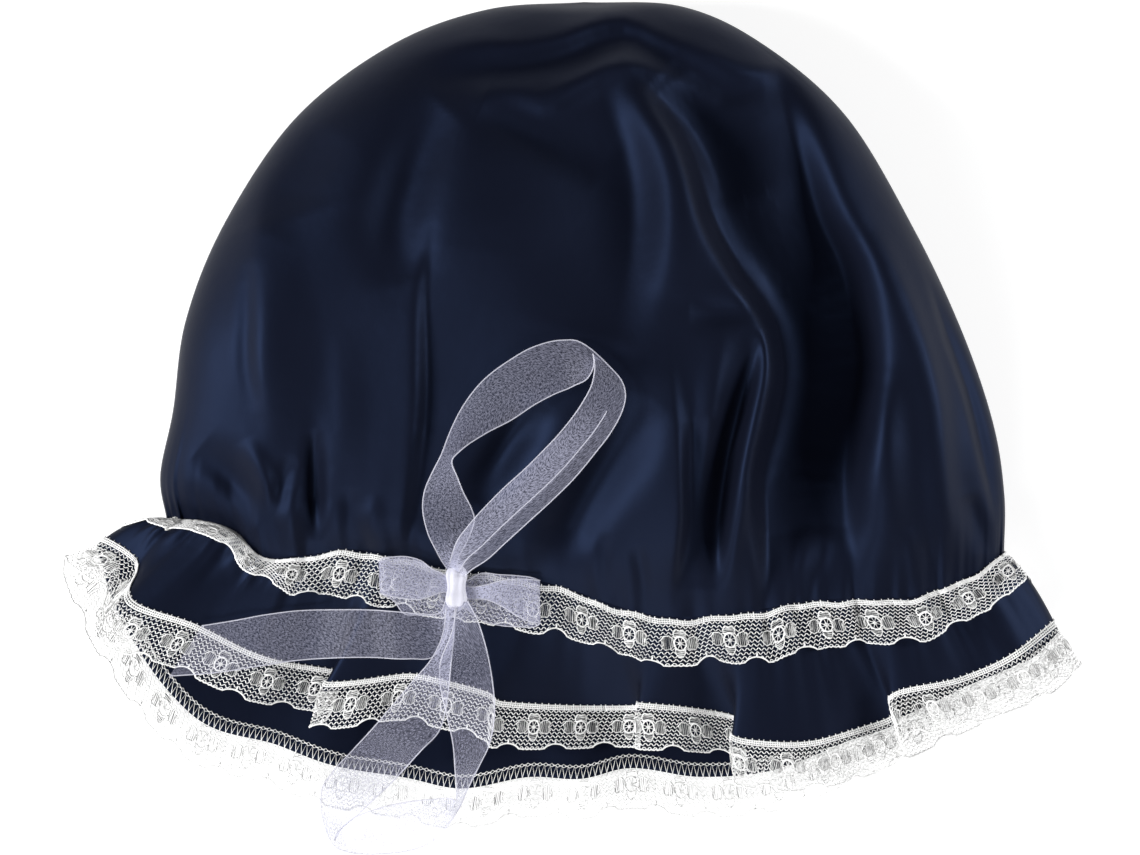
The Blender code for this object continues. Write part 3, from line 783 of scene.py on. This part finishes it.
# %% One repeat of the lace, in millimetres
REPEAT = 15.2
LACE_WIDE = 16.0
NET_THREAD, CORD_THREAD, HEADER_THREAD, WEB_THREAD = 0.185, 0.32, 0.3, 0.14
WAVES, WAVE_HIGH, ROW_APART = 9, 0.36, 1.28
FIRST_ROW, RUNGS = 2.35, 20
HALF = REPEAT / 2
FLOWER_AT = np.array([HALF, 8.0])
EYE_WIDE, EYE_HIGH = 1.75, 2.3
PETALS = (
    ((-1.7, -2.0), (-1.9, -3.5), (-1.0, -4.7), (0, -4.2), (0.9, -4.8), (1.8, -3.6), (1.6, -2.0),
     (0, -2.6)),
    ((1.5, 1.9), (1.3, 3.4), (0.7, 4.7), (-0.4, 4.8), (-1.2, 3.5), (-1.5, 1.9), (0, 2.5)),
    ((-1.9, 0.8), (-2.7, 1.9), (-4.2, 2.3), (-5.3, 1.4), (-4.7, 0.2), (-5.7, -0.9), (-4.7, -2.2),
     (-3.2, -2.4), (-2.0, -1.3)),
    ((1.9, -0.9), (2.8, -2.2), (4.2, -2.5), (5.4, -1.3), (4.8, 0.0), (5.6, 1.0), (4.6, 2.2),
     (3.0, 2.1), (2.0, 1.1)),
)
HATCH_APART, HATCH_THREAD = 0.3, 0.23
# the room that each takes in the net: half its width and height, and how far out the side ones are
EYE_ROOM, UPRIGHT_ROOM, SIDE_ROOM, SIDE_OUT = (1.95, 2.5), (1.3, 4.3), (1.5, 2.0), 3.7
NET_ROWS, NET_CLEAR, PETAL_CLEAR = 11, 0.2, 0.2
HEADER_CORDS, CORD_STEPS = (0.2, 0.85, 1.5), 13
RUNG_LEAN, RUNG_FOOT, RUNG_TOP, LOOP_TOP = (-0.1, 0.05), 1.7, -0.1, -0.55
EYE_STEPS, WEB_ROUND, WEB_ARMS = 15, 0.55, (0.3, 1.25, 2.0, 2.8)
CREST_HALF, CREST_HIGH, CREST_ROUND, EDGE_AT = 3.6, 1.8, 0.8, 15.6
EDGE_WAVE_HIGH, EDGE_WAVE_LONG, EDGE_STEPS, STEM_LONG = 0.16, 1.33, 31, 1.3


def scallop(u):
    """How far down the lower edge lies: it arches up between the flowers and waves below them."""
    away = np.abs(np.mod(u + HALF, REPEAT) - HALF)
    arch = EDGE_AT - CREST_HIGH * (1 - np.minimum(away / CREST_HALF, 1) ** 2) ** CREST_ROUND
    wave = EDGE_WAVE_HIGH * np.cos(2 * np.pi * (away - CREST_HALF) / EDGE_WAVE_LONG)
    return arch + np.where(away > CREST_HALF, wave, 0)


def worked(u, v):
    """True where petals or the eye of the flower take the net's place."""
    u, v = u - FLOWER_AT[0], v - FLOWER_AT[1]
    eye = (u / EYE_ROOM[0]) ** 2 + (v / EYE_ROOM[1]) ** 2 < 1
    upright = (np.abs(u) < UPRIGHT_ROOM[0]) & (np.abs(v) < UPRIGHT_ROOM[1])
    sides = ((np.abs(u) - SIDE_OUT) / SIDE_ROOM[0]) ** 2 + (v / SIDE_ROOM[1]) ** 2 < 1
    return eye | upright | sides


def net_lines():
    """Rows of wavy thread, without the parts that the flowers and the edge take."""
    lines = []
    steps = np.arange(4 * WAVES + 1)
    high = np.array([-1, -0.75, 1, 0.75])
    for row in range(NET_ROWS):
        u = steps * REPEAT / (4 * WAVES)
        v = FIRST_ROW + row * ROW_APART + WAVE_HIGH * high[(steps + row) % 4]
        line = np.column_stack([u, v])
        middle = (line[1:] + line[:-1]) / 2
        above = middle[:, 1] < scallop(middle[:, 0]) - NET_CLEAR
        keep = ~worked(middle[:, 0], middle[:, 1]) & above
        start = None
        for index, good in enumerate(np.append(keep, False)):
            if good and start is None:
                start = index
            elif not good and start is not None:
                lines.append(line[start : index + 1])
                start = None
    return lines


def header_lines():
    """The header: three long cords, with rungs across them of which some end in small loops."""
    long_u = np.linspace(0, REPEAT, CORD_STEPS)
    cords = [np.column_stack([long_u, np.full(CORD_STEPS, v)]) for v in HEADER_CORDS]
    rungs = []
    for index in range(RUNGS):
        u = (index + 0.5) * REPEAT / RUNGS
        top = RUNG_TOP if index % 3 else LOOP_TOP
        rungs.append(np.array([[u + RUNG_LEAN[0], top], [u + RUNG_LEAN[1], RUNG_FOOT]]))
    return cords, rungs


def eye_lines():
    """The ring round the flower's eye and the small web inside it."""
    turn = np.linspace(0, 2 * np.pi, EYE_STEPS)
    ring = FLOWER_AT + np.column_stack([EYE_WIDE * np.cos(turn), EYE_HIGH * np.sin(turn)])
    web = FLOWER_AT + WEB_ROUND * np.column_stack([np.cos(turn[::2]), np.sin(turn[::2])])
    arms = []
    for angle in WEB_ARMS:
        arm = np.array([EYE_WIDE * np.cos(angle), EYE_HIGH * np.sin(angle)])
        arms.append(np.array([FLOWER_AT - arm, FLOWER_AT + arm]))
    return [ring], [web] + arms


def petal_lines():
    """The worked petals: a thread round each, and one that runs to and fro across it."""
    outlines, hatches = [], []
    for outline in PETALS:
        shape = np.array(outline, float)
        upright = np.ptp(shape[:, 1]) < np.ptp(shape[:, 0]) or abs(shape[:, 0].mean()) < 1
        far, wide = (1, 0) if upright else (0, 1)
        ends = np.roll(shape, -1, axis=0)
        places = np.arange(shape[:, far].min() + PETAL_CLEAR, shape[:, far].max(), HATCH_APART)
        path = []
        for turn, place in enumerate(places):
            cut = (shape[:, far] - place) * (ends[:, far] - place) < 0
            share = (place - shape[cut, far]) / (ends[cut, far] - shape[cut, far])
            hits = shape[cut, wide] + share * (ends[cut, wide] - shape[cut, wide])
            spot = np.zeros(2)
            spot[far], spot[wide] = place, hits.max() if turn % 2 else hits.min()
            path.append(spot)
        hatches.append(FLOWER_AT + np.array(path))
        outlines.append(FLOWER_AT + np.vstack([shape, shape[:1]]))
    return outlines, hatches


def edge_lines():
    """The cord along the lower edge, and the stem at the top of each arch."""
    u = np.linspace(0, REPEAT, EDGE_STEPS)
    crest = EDGE_AT - CREST_HIGH
    return [np.column_stack([u, scallop(u)]), np.array([[0, crest], [0, crest - STEM_LONG]])]


# %% Put the repeats on a band
cords, rungs = header_lines()
ring, web = eye_lines()
outlines, hatches = petal_lines()
# the lines of one repeat, with their threads' radius and height over the band
LACE_LINES = (
    (net_lines(), NET_THREAD, 0.3),
    (cords, HEADER_THREAD, 0.34),
    (rungs, NET_THREAD, 0.42),
    (edge_lines(), CORD_THREAD, 0.36),
    (ring, HEADER_THREAD, 0.4),
    (web, WEB_THREAD, 0.32),
    (outlines, HATCH_THREAD, 0.36),
    (hatches, HATCH_THREAD, 0.42),
)


def lace_on(band, name, node, wander):
    """A strip of lace on a band, sewn to the frill: wander says how far it strays from its line."""
    work = ThreadWork()
    copies = int(round(band.length / REPEAT))
    pitch = band.length / copies
    shift = np.arange(copies)[:, None] * pitch
    for lines, radius, lift in LACE_LINES:
        for line in lines:
            u = shift + line[:, 0] * pitch / REPEAT
            v = np.tile(line[:, 1], (copies, 1)) + wander(u)
            work.add(*tubes(*band.at(u, v, lift), radius))
    piece = work.made(name, lace_thread)
    declare(piece, node)
    triangles = sum(len(face) - 2 for face in work.faces)
    print(name, copies, "repeats of", round(pitch, 2), "mm,", triangles, "triangles")
    return piece


# %% [markdown]
# The neck lace is sewn along its header only. Over most of the neck it lies down on the frill, and
# where the cloth bunches at the left and right ends it stands up on its stitches. A table gives the
# share of its width that lies flat. It curls as it rises, so it stands half as high as a stiff strip.

# %% Where the two strips run
NECK_LEAN = (
    (-127, 0.5), (-120, 0.38), (-112, 0.30), (-104, 0.32), (-98, 0.40), (-91, 0.44), (-86, 0.62),
    (-82, 0.82), (-77, 0.94), (-50, 1.0), (60, 1.0), (100, 0.92), (120, 0.8), (134, 0.8),
)
CURL = 0.5
SEWN_BELOW, SLIP_WAVES = 0.7, ((3.9, 0.4, 0), (1.9, 0.3, 1))
HEM_OVERLAP = 3.0


def neck_rows(theta, v):
    """The neck lace lies on the frill, or leans up from it where its share is under 1."""
    neck, _, length = neck_and_hem(theta)
    share = np.where(np.sin(theta) > 0, of_line(NECK_LEAN, neck[:, 0], 1), 1.0)
    points = frill_points(theta, v * share / length)
    points[:, 2] += v * CURL * np.sqrt(np.maximum(1 - share**2, 0))
    return points


def past_hem(theta, past):
    """Points of the frill's face so far past its hem, or before it where past is below zero."""
    length = neck_and_hem(theta)[2]
    return frill_points(theta, 1 - max(-past, 0) / length, max(past, 0))


def neck_wander(u):
    """The neck lace is sewn on by eye, so it slips a little up and down its line."""
    far = SEWN_BELOW
    for length, size, start in SLIP_WAVES:
        far = far + size * np.sin(u / length + start)
    return far


# %% Neck lace and hem lace
neck_band = Band(neck_rows, 0.0, LACE_WIDE)
neck_lace = lace_on(neck_band, "neck_lace_threads", "neck_lace", neck_wander)
hem_band = Band(lambda theta, v: past_hem(theta, v - HEM_OVERLAP), HEM_OVERLAP, LACE_WIDE)
hem_lace = lace_on(hem_band, "hem_lace_threads", "hem_lace", lambda u: 0.0)

# %% [markdown]
# ## Elastic and overlock
#
# The elastic runs inside the neck, where only a view into the opening finds it. The frill's raw edge
# is overlocked: zig-zag stitches wrap it, with a double row of loops on top. They show on the back
# layer, whose inner face looks up.

# %% The elastic, with its lengthwise ribs
ELASTIC_WIDE, ELASTIC_THICK, ELASTIC_INSIDE = 6.0, 0.6, 1.6
ELASTIC_RIB, ELASTIC_RIBS, ELASTIC_ROWS, ELASTIC_STEP = 0.16, 6, 25, 1.2
ELASTIC_FROM_NECK = 0.6


def elastic_rows(theta, v):
    return frill_points(theta, (ELASTIC_FROM_NECK + v) / neck_and_hem(theta)[2])


elastic_band = Band(elastic_rows, 0.0, ELASTIC_WIDE, step=ELASTIC_STEP, rows=ELASTIC_ROWS)
across_ribs = np.linspace(0, 2 * ELASTIC_RIBS * np.pi, ELASTIC_ROWS)
deep = ELASTIC_INSIDE + ELASTIC_RIB * np.cos(across_ribs)[:, None, None]
ribbed = elastic_band.grid - elastic_band.out * deep
elastic = cloth("elastic_ribbed", ribbed[::-1], elastic_finish, ring=True)
give_wall(elastic, ELASTIC_THICK)
declare(elastic, "elastic_band")
report(elastic)

# %% The overlock stitches
STITCH_PITCH, STITCH_DEEP = 1.9, 4.2
STITCH_INSIDE = SATIN_THICK + 0.22
STITCH_THREAD, STITCH_ROWS = 0.14, 5
# one stitch of each thread, as shares of its pitch and millimetres: the zig-zag, then the loops
STITCHES = (
    ((0.0, 4.2), (0.5, 0.2), (1.0, 4.2)),
    ((0.0, 0.1), (0.25, -0.25), (0.5, 0.1), (0.75, 0.42), (1.0, 0.1)),
    ((0.0, 0.5), (0.25, 0.8), (0.5, 0.5), (0.75, 0.15), (1.0, 0.5)),
)

stitch_band = Band(
    lambda theta, v: past_hem(theta, v - STITCH_DEEP), STITCH_DEEP, STITCH_DEEP, rows=STITCH_ROWS
)
overlock = ThreadWork()
count = int(round(stitch_band.length / STITCH_PITCH))
pitch = stitch_band.length / count
starts = np.arange(count)[:, None] * pitch
for stitch in STITCHES:
    line = np.array(stitch)
    u, v = starts + line[:, 0] * pitch, np.tile(line[:, 1], (count, 1))
    points, out = stitch_band.at(u, v, -STITCH_INSIDE)
    overlock.add(*tubes(points, -out, STITCH_THREAD))
stitching = overlock.made("overlock_stitches", lace_thread)
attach(stitching, "root")
report(stitching)

# %% [markdown]
# ## The bow
#
# One length of 15 mm organza makes the bow: a flattened loop behind, a knot, a long loop laid up over
# the crown, another hanging over the frill, and a tail to the left. Limp ribbon could be simulated,
# but these turns are particular, so each ribbon is ruled between its two edges. A row gives both
# edges in plan, and how high each stands over the cloth under it.

# %% How high the cloth stands under a place
PROBE_MM, PROBE_FROM_MM = 1.6, 1000.0


def tree_of(grid, ring=True):
    """A grid's faces, sorted so that a ray finds them fast."""
    faces = grid_faces(*grid.shape[:2], ring)[3]
    return BVHTree.FromPolygons(grid.reshape(-1, 3).tolist(), faces)


def highest(trees, x, y):
    """The height of what lies under a place in plan, felt there and a little to each side."""
    found = 0.0
    for aside in (-PROBE_MM, 0, PROBE_MM):
        for ahead in (-PROBE_MM, 0, PROBE_MM):
            start = Vector((x + aside, y + ahead, PROBE_FROM_MM))
            for tree in trees:
                hit = tree.ray_cast(start, Vector((0, 0, -1)))[0]
                if hit:
                    found = max(found, hit.z)
    return found


LACE_TOP = 0.8
lace_tops = [band.grid + band.out * LACE_TOP for band in (neck_band, hem_band)]
bag_trees = [tree_of(grid) for grid in (crown_grid, frill_grid, *lace_tops)]
print("the bag stands", round(highest(bag_trees, 0, 0), 1), "mm high at its middle")

# %% The ribbons' edges, in millimetres: x, y and height above the cloth, for one edge and the other
BASE_BOW = (
    (-34.4, -47.7, 2.2, -34.4, -51.5, 2.2), (-31.3, -48.4, 2.4, -30.4, -52.1, 2.4),
    (-27.3, -48, 2.4, -27, -52.1, 2.4), (-21.7, -46.5, 2.2, -22, -53.9, 2.2),
    (-15.8, -45.9, 2.0, -15.8, -57.7, 2.0), (-11.2, -46.2, 1.8, -11.2, -59.4, 1.8),
    (-9.6, -46.4, 1.2, -9.4, -59.5, 1.2), (-11.2, -45.8, 0.7, -10.5, -60.4, 0.7),
    (-15.8, -45, 0.7, -16.4, -60.6, 0.7), (-22, -44.6, 0.7, -22.6, -60.1, 0.7),
    (-28.2, -44.3, 0.7, -28.2, -58.3, 0.7), (-32.2, -46.5, 0.7, -32.2, -55.2, 0.7),
    (-35, -47.7, 0.7, -35, -53.9, 0.7), (-40.6, -44.6, 0.7, -40.6, -56.7, 0.7),
    (-46.2, -40.9, 0.7, -47.4, -57, 0.7), (-51.5, -39.9, 0.7, -51.8, -56.4, 0.7),
    (-55.5, -39.9, 0.7, -54.6, -52.7, 0.7), (-59.2, -40.3, 1.2, -58.9, -50.2, 1.2),
    (-58.3, -39.7, 1.8, -58, -50.5, 1.8), (-54.6, -39.1, 2.0, -54.3, -51.5, 2.0),
    (-50.2, -39.1, 2.2, -49.9, -52.1, 2.2), (-46.2, -40.3, 2.3, -46.2, -52.1, 2.3),
    (-42.8, -42.8, 2.3, -42.2, -50.8, 2.3), (-39.4, -44.3, 2.3, -39.1, -49.9, 2.3),
    (-36, -47.1, 2.2, -36, -50.8, 2.2),
)
UPPER_LOOP = (
    (-37.6, -43.5, 2.5, -35, -43.5, 3), (-39.4, -40.9, 2.5, -35, -40.5, 4),
    (-41.9, -36.3, 2.2, -31.9, -34.1, 5), (-44, -31.9, 2, -29.8, -28.5, 4.5),
    (-45.6, -24.8, 2, -30.6, -24.2, 4.5), (-45, -18.6, 2.5, -33.1, -19.2, 8),
    (-42.5, -12.7, 3, -35, -14.3, 12), (-40, -7.8, 4, -36.6, -9.9, 13),
    (-37.2, -0.6, 3.5, -33.8, -6.2, 12), (-32.9, 7.8, 2.5, -26.5, -1.2, 8),
    (-26.7, 15.5, 2, -18.3, 3.1, 4.5), (-18.9, 21.4, 2, -11.2, 7.8, 3),
    (-11.8, 25.4, 2, -5.4, 10.9, 3), (-2.5, 27.6, 2, 0.9, 13.6, 4), (3.4, 26.7, 2.5, 5.5, 16.4, 8),
    (8.4, 22.9, 3, 7.1, 20.5, 13), (12.7, 18.6, 3, 6.7, 23.3, 13.5), (15.8, 14.6, 3, 7.3, 19.5, 12),
    (16.7, 10.5, 3, 6.5, 14.3, 10), (15.5, 5.3, 3, 3.7, 8.7, 8), (12.1, -0.9, 3, 0.3, 3.7, 6.5),
    (7.4, -7.1, 3, -4.3, -1.9, 6), (1.2, -14.6, 3, -8.7, -6.5, 6), (-5.6, -21.4, 3, -14, -11.8, 6.5),
    (-12.7, -27.9, 3, -20.2, -17.4, 7), (-20.5, -35, 3, -25.7, -22.9, 7.5),
    (-26, -40, 3, -31.3, -29.1, 7.5), (-30.6, -43, 3, -35.3, -34.7, 7),
    (-33, -45.3, 3, -37.5, -41.5, 5),
)
LOWER_LOOP = (
    (-38.4, -54.6, 2, -35.7, -54.6, 2), (-39.4, -62.6, 2, -36, -62.6, 3),
    (-42.5, -69.8, 2, -36.9, -71.3, 3), (-49.3, -78.1, 2, -38.1, -82.2, 3),
    (-55.5, -85.6, 2, -40.6, -92.7, 3), (-61.7, -92.7, 2, -46.2, -98.9, 3),
    (-68.2, -99.8, 2, -54.3, -107.9, 3), (-74.1, -106.3, 2, -62.3, -115.6, 3),
    (-77.2, -111.6, 3, -67, -120, 3), (-77.2, -118.4, 6, -70.4, -122.8, 3),
    (-75.3, -125.2, 9, -72.5, -125, 3), (-72.9, -129, 11, -73.2, -127.2, 3),
    (-69.1, -130.6, 10, -71.3, -123.7, 5), (-64.5, -131.2, 8, -67.6, -120.3, 7),
    (-58.6, -131.2, 7, -61.7, -117.8, 9), (-52.1, -130.6, 7, -54.9, -115.9, 11),
    (-46.2, -129, 8, -48.4, -114.7, 13), (-41.2, -125.9, 10, -41.9, -114.1, 15),
    (-37.5, -121.5, 13, -37.5, -113.8, 17), (-34.7, -117.2, 14, -35.7, -114.4, 19),
    (-32.2, -111.6, 11, -35.3, -111.3, 18), (-28.2, -103.5, 8, -35.7, -106, 14),
    (-25.1, -96.7, 6, -36.3, -97.7, 9), (-23.6, -86.8, 4, -38.4, -87.7, 6),
    (-24.5, -76, 3.5, -40.3, -78.7, 5), (-26.7, -65.1, 3.5, -40, -70.7, 5),
    (-29.5, -57, 3, -36.6, -62, 4), (-31.9, -52.7, 2.5, -35, -53.9, 2.5),
)
TAIL = (
    (-38.4, -52.1, 1.2, -37.5, -55.8, 1.2), (-40.6, -56.4, 1.2, -38.4, -63.2, 1.2),
    (-45.3, -56.7, 1.1, -41.9, -69.4, 1.1), (-53, -56.1, 1, -49.9, -70.5, 1),
    (-62.3, -55.5, 1, -62.3, -70.1, 1), (-73.2, -55.5, 1, -74.7, -70.4, 1),
    (-84, -55.8, 1, -86.2, -71.3, 1), (-93.9, -57, 1, -97, -73, 1),
    (-104.2, -58.9, 1.2, -110.4, -75, 1), (-114.1, -60.5, 1.4, -124, -76, 1),
)
RIBBON_WIDE = 15.0
RIBBON_STEP, RIBBON_LEAST_STEP, RIBBON_ACROSS = 1.0, 0.8, 15
PROBE_SHARES = (0, 0.25, 0.5, 0.75, 1)
CREASE_ROW, CREASE_FADE = 5, 0.1
SELVEDGE_THREAD, SELVEDGE_SIDES, SELVEDGE_UP = 0.2, 5, (0.0, 0.2, 1.0)
MOST_LAYERS = 4.0
DRAPE_SPREADS, DRAPE_EASINGS = 6, 9
DRAPE_OWN, DRAPE_BESIDE = 0.35, 0.65

# %% Rule a ribbon between its edges and lay it on the cloth
def drape(low):
    """Ribbon bridges the hollows under it: heights spread along it, then smooth out."""
    for _ in range(DRAPE_SPREADS):
        spread = np.maximum(low, np.maximum(np.roll(low, 1), np.roll(low, -1)))
        spread[[0, -1]] = low[[0, -1]]
        low = np.maximum(low, DRAPE_OWN * low + DRAPE_BESIDE * spread)
    for _ in range(DRAPE_EASINGS):
        eased = (np.roll(low, 1) + 2 * low + np.roll(low, -1)) / 4
        eased[[0, -1]] = low[[0, -1]]
        low = eased
    return low


def ribbon_grid(rows, trees):
    """Points of a ribbon, from one edge to the other, laid on what is under it."""
    table = np.asarray(rows, float)
    far = far_along((table[:, :2] + table[:, 3:5]) / 2, RIBBON_LEAST_STEP)
    line = hermite(far, table, np.linspace(0, far[-1], int(far[-1] / RIBBON_STEP) + 1))

    def under(row):
        spots = [row[:2] * (1 - share) + row[3:5] * share for share in PROBE_SHARES]
        return max(highest(trees, *spot) for spot in spots)

    low = drape(np.array([under(row) for row in line]))
    one = np.column_stack([line[:, :2], low + line[:, 2]])
    other = np.column_stack([line[:, 3:5], low + line[:, 5]])
    shares = np.linspace(0, 1, RIBBON_ACROSS)[:, None, None]
    return one[None] * (1 - shares) + other[None] * shares


def selvedge_of(edges):
    """The cords along a ribbon's edges."""
    work = ThreadWork()
    for edge in edges:
        up = np.tile(SELVEDGE_UP, (len(edge), 1))
        work.add(*tubes(edge[None], up[None], SELVEDGE_THREAD, sides=SELVEDGE_SIDES))
    return work


def ribbon(name, node, rows, trees, turned_from=None, plies=1.0):
    """A ribbon's object and grid. Where it is gathered narrow, its layers lie over each other.

    From the share turned_from of its length on, it is also creased along and double on one side.
    A ribbon that is pleated along, with several plies, is denser all over.
    """
    grid = ribbon_grid(rows, trees)
    made = cloth(name, grid, organza)
    narrow = np.linalg.norm(grid[0] - grid[-1], axis=1)
    layers = plies * np.clip(RIBBON_WIDE / np.maximum(narrow, 1), 1, MOST_LAYERS)
    layers = np.tile(layers, (RIBBON_ACROSS, 1))
    edges = [grid[0], grid[-1]]
    if turned_from:
        share = np.linspace(0, 1, layers.shape[1])
        layers[CREASE_ROW:] *= 1 + np.clip((share - turned_from) / CREASE_FADE, 0, 1)
        edges.append(grid[CREASE_ROW, int(turned_from * len(grid[0])) :])
    kept = made.data.attributes.new("layers", "FLOAT", "POINT")
    kept.data.foreach_set("value", layers.ravel())
    cords = selvedge_of(edges).made(name + "_edges", selvedge)
    bpy.ops.object.select_all(action="DESELECT")
    cords.select_set(True)
    made.select_set(True)
    bpy.context.view_layer.objects.active = made
    bpy.ops.object.join()
    made.select_set(False)
    declare(made, node)
    return made, grid


# %% The bow's ribbons, the lowest first
BASE_PLIES, LOWER_PLIES = 1.9, 1.25
UPPER_TURN = 0.62

base_bow, base_grid = ribbon(
    "base_bow_ribbon", "base_bow", BASE_BOW, bag_trees, plies=BASE_PLIES
)
over_base = bag_trees + [tree_of(base_grid, ring=False)]
tail_grid = ribbon("tail_ribbon", "ribbon_tail", TAIL, over_base)[1]
over_tail = over_base + [tree_of(tail_grid, ring=False)]
ribbon("upper_loop_ribbon", "upper_loop", UPPER_LOOP, bag_trees, turned_from=UPPER_TURN)
ribbon(
    "lower_loop_ribbon", "lower_loop", LOWER_LOOP, over_tail, plies=LOWER_PLIES
)

# %% [markdown]
# The knot is ribbon wound tightly round the rest, so it is a rounded block, nipped at its waist, with
# pleats along it. It starts as a ball that is pressed and pleated vertex by vertex.

# %% The knot
KNOT_CENTRE = (-35.4, -48.4)
KNOT_SIZE = (7.4, 14.5, 6.2)
KNOT_PLEATS, KNOT_PLEAT_DEEP, KNOT_PLEAT_TWIST = 7, 0.09, 1.5
KNOT_WAIST_DEEP, KNOT_WAIST_LONG, KNOT_SQUARE = 0.28, 0.35, 0.85
KNOT_ABOVE, KNOT_SEGMENTS, KNOT_RINGS = 0.6, 64, 40

knot_under = highest(bag_trees, *KNOT_CENTRE)
bpy.ops.mesh.primitive_uv_sphere_add(segments=KNOT_SEGMENTS, ring_count=KNOT_RINGS, radius=1.0)
knot = bpy.context.object
knot.name = "bow_knot_ribbon"
spots = np.array([vertex.co[:] for vertex in knot.data.vertices])
turn, along = np.arctan2(spots[:, 2], spots[:, 0]), spots[:, 1]
waist = 1 - KNOT_WAIST_DEEP * np.exp(-((along / KNOT_WAIST_LONG) ** 2))
wave = np.cos(KNOT_PLEATS * turn + KNOT_PLEAT_TWIST * along)
pleats = 1 + KNOT_PLEAT_DEEP * wave * (1 - along**4)
squared = np.sign(spots) * np.abs(spots) ** KNOT_SQUARE
shaped = squared * np.column_stack([waist * pleats, np.ones(len(spots)), waist * pleats])
centre = np.array([*KNOT_CENTRE, knot_under + KNOT_ABOVE + KNOT_SIZE[2] / 2])
placed = (centre + shaped * np.array(KNOT_SIZE) / 2) * MM
knot.data.vertices.foreach_set("co", placed.ravel())
knot.data.update()
bpy.ops.object.shade_smooth()
knot.data.materials.append(dense_organza)
declare(knot, "bow_knot")
report(knot)
bpy.ops.object.select_all(action="DESELECT")
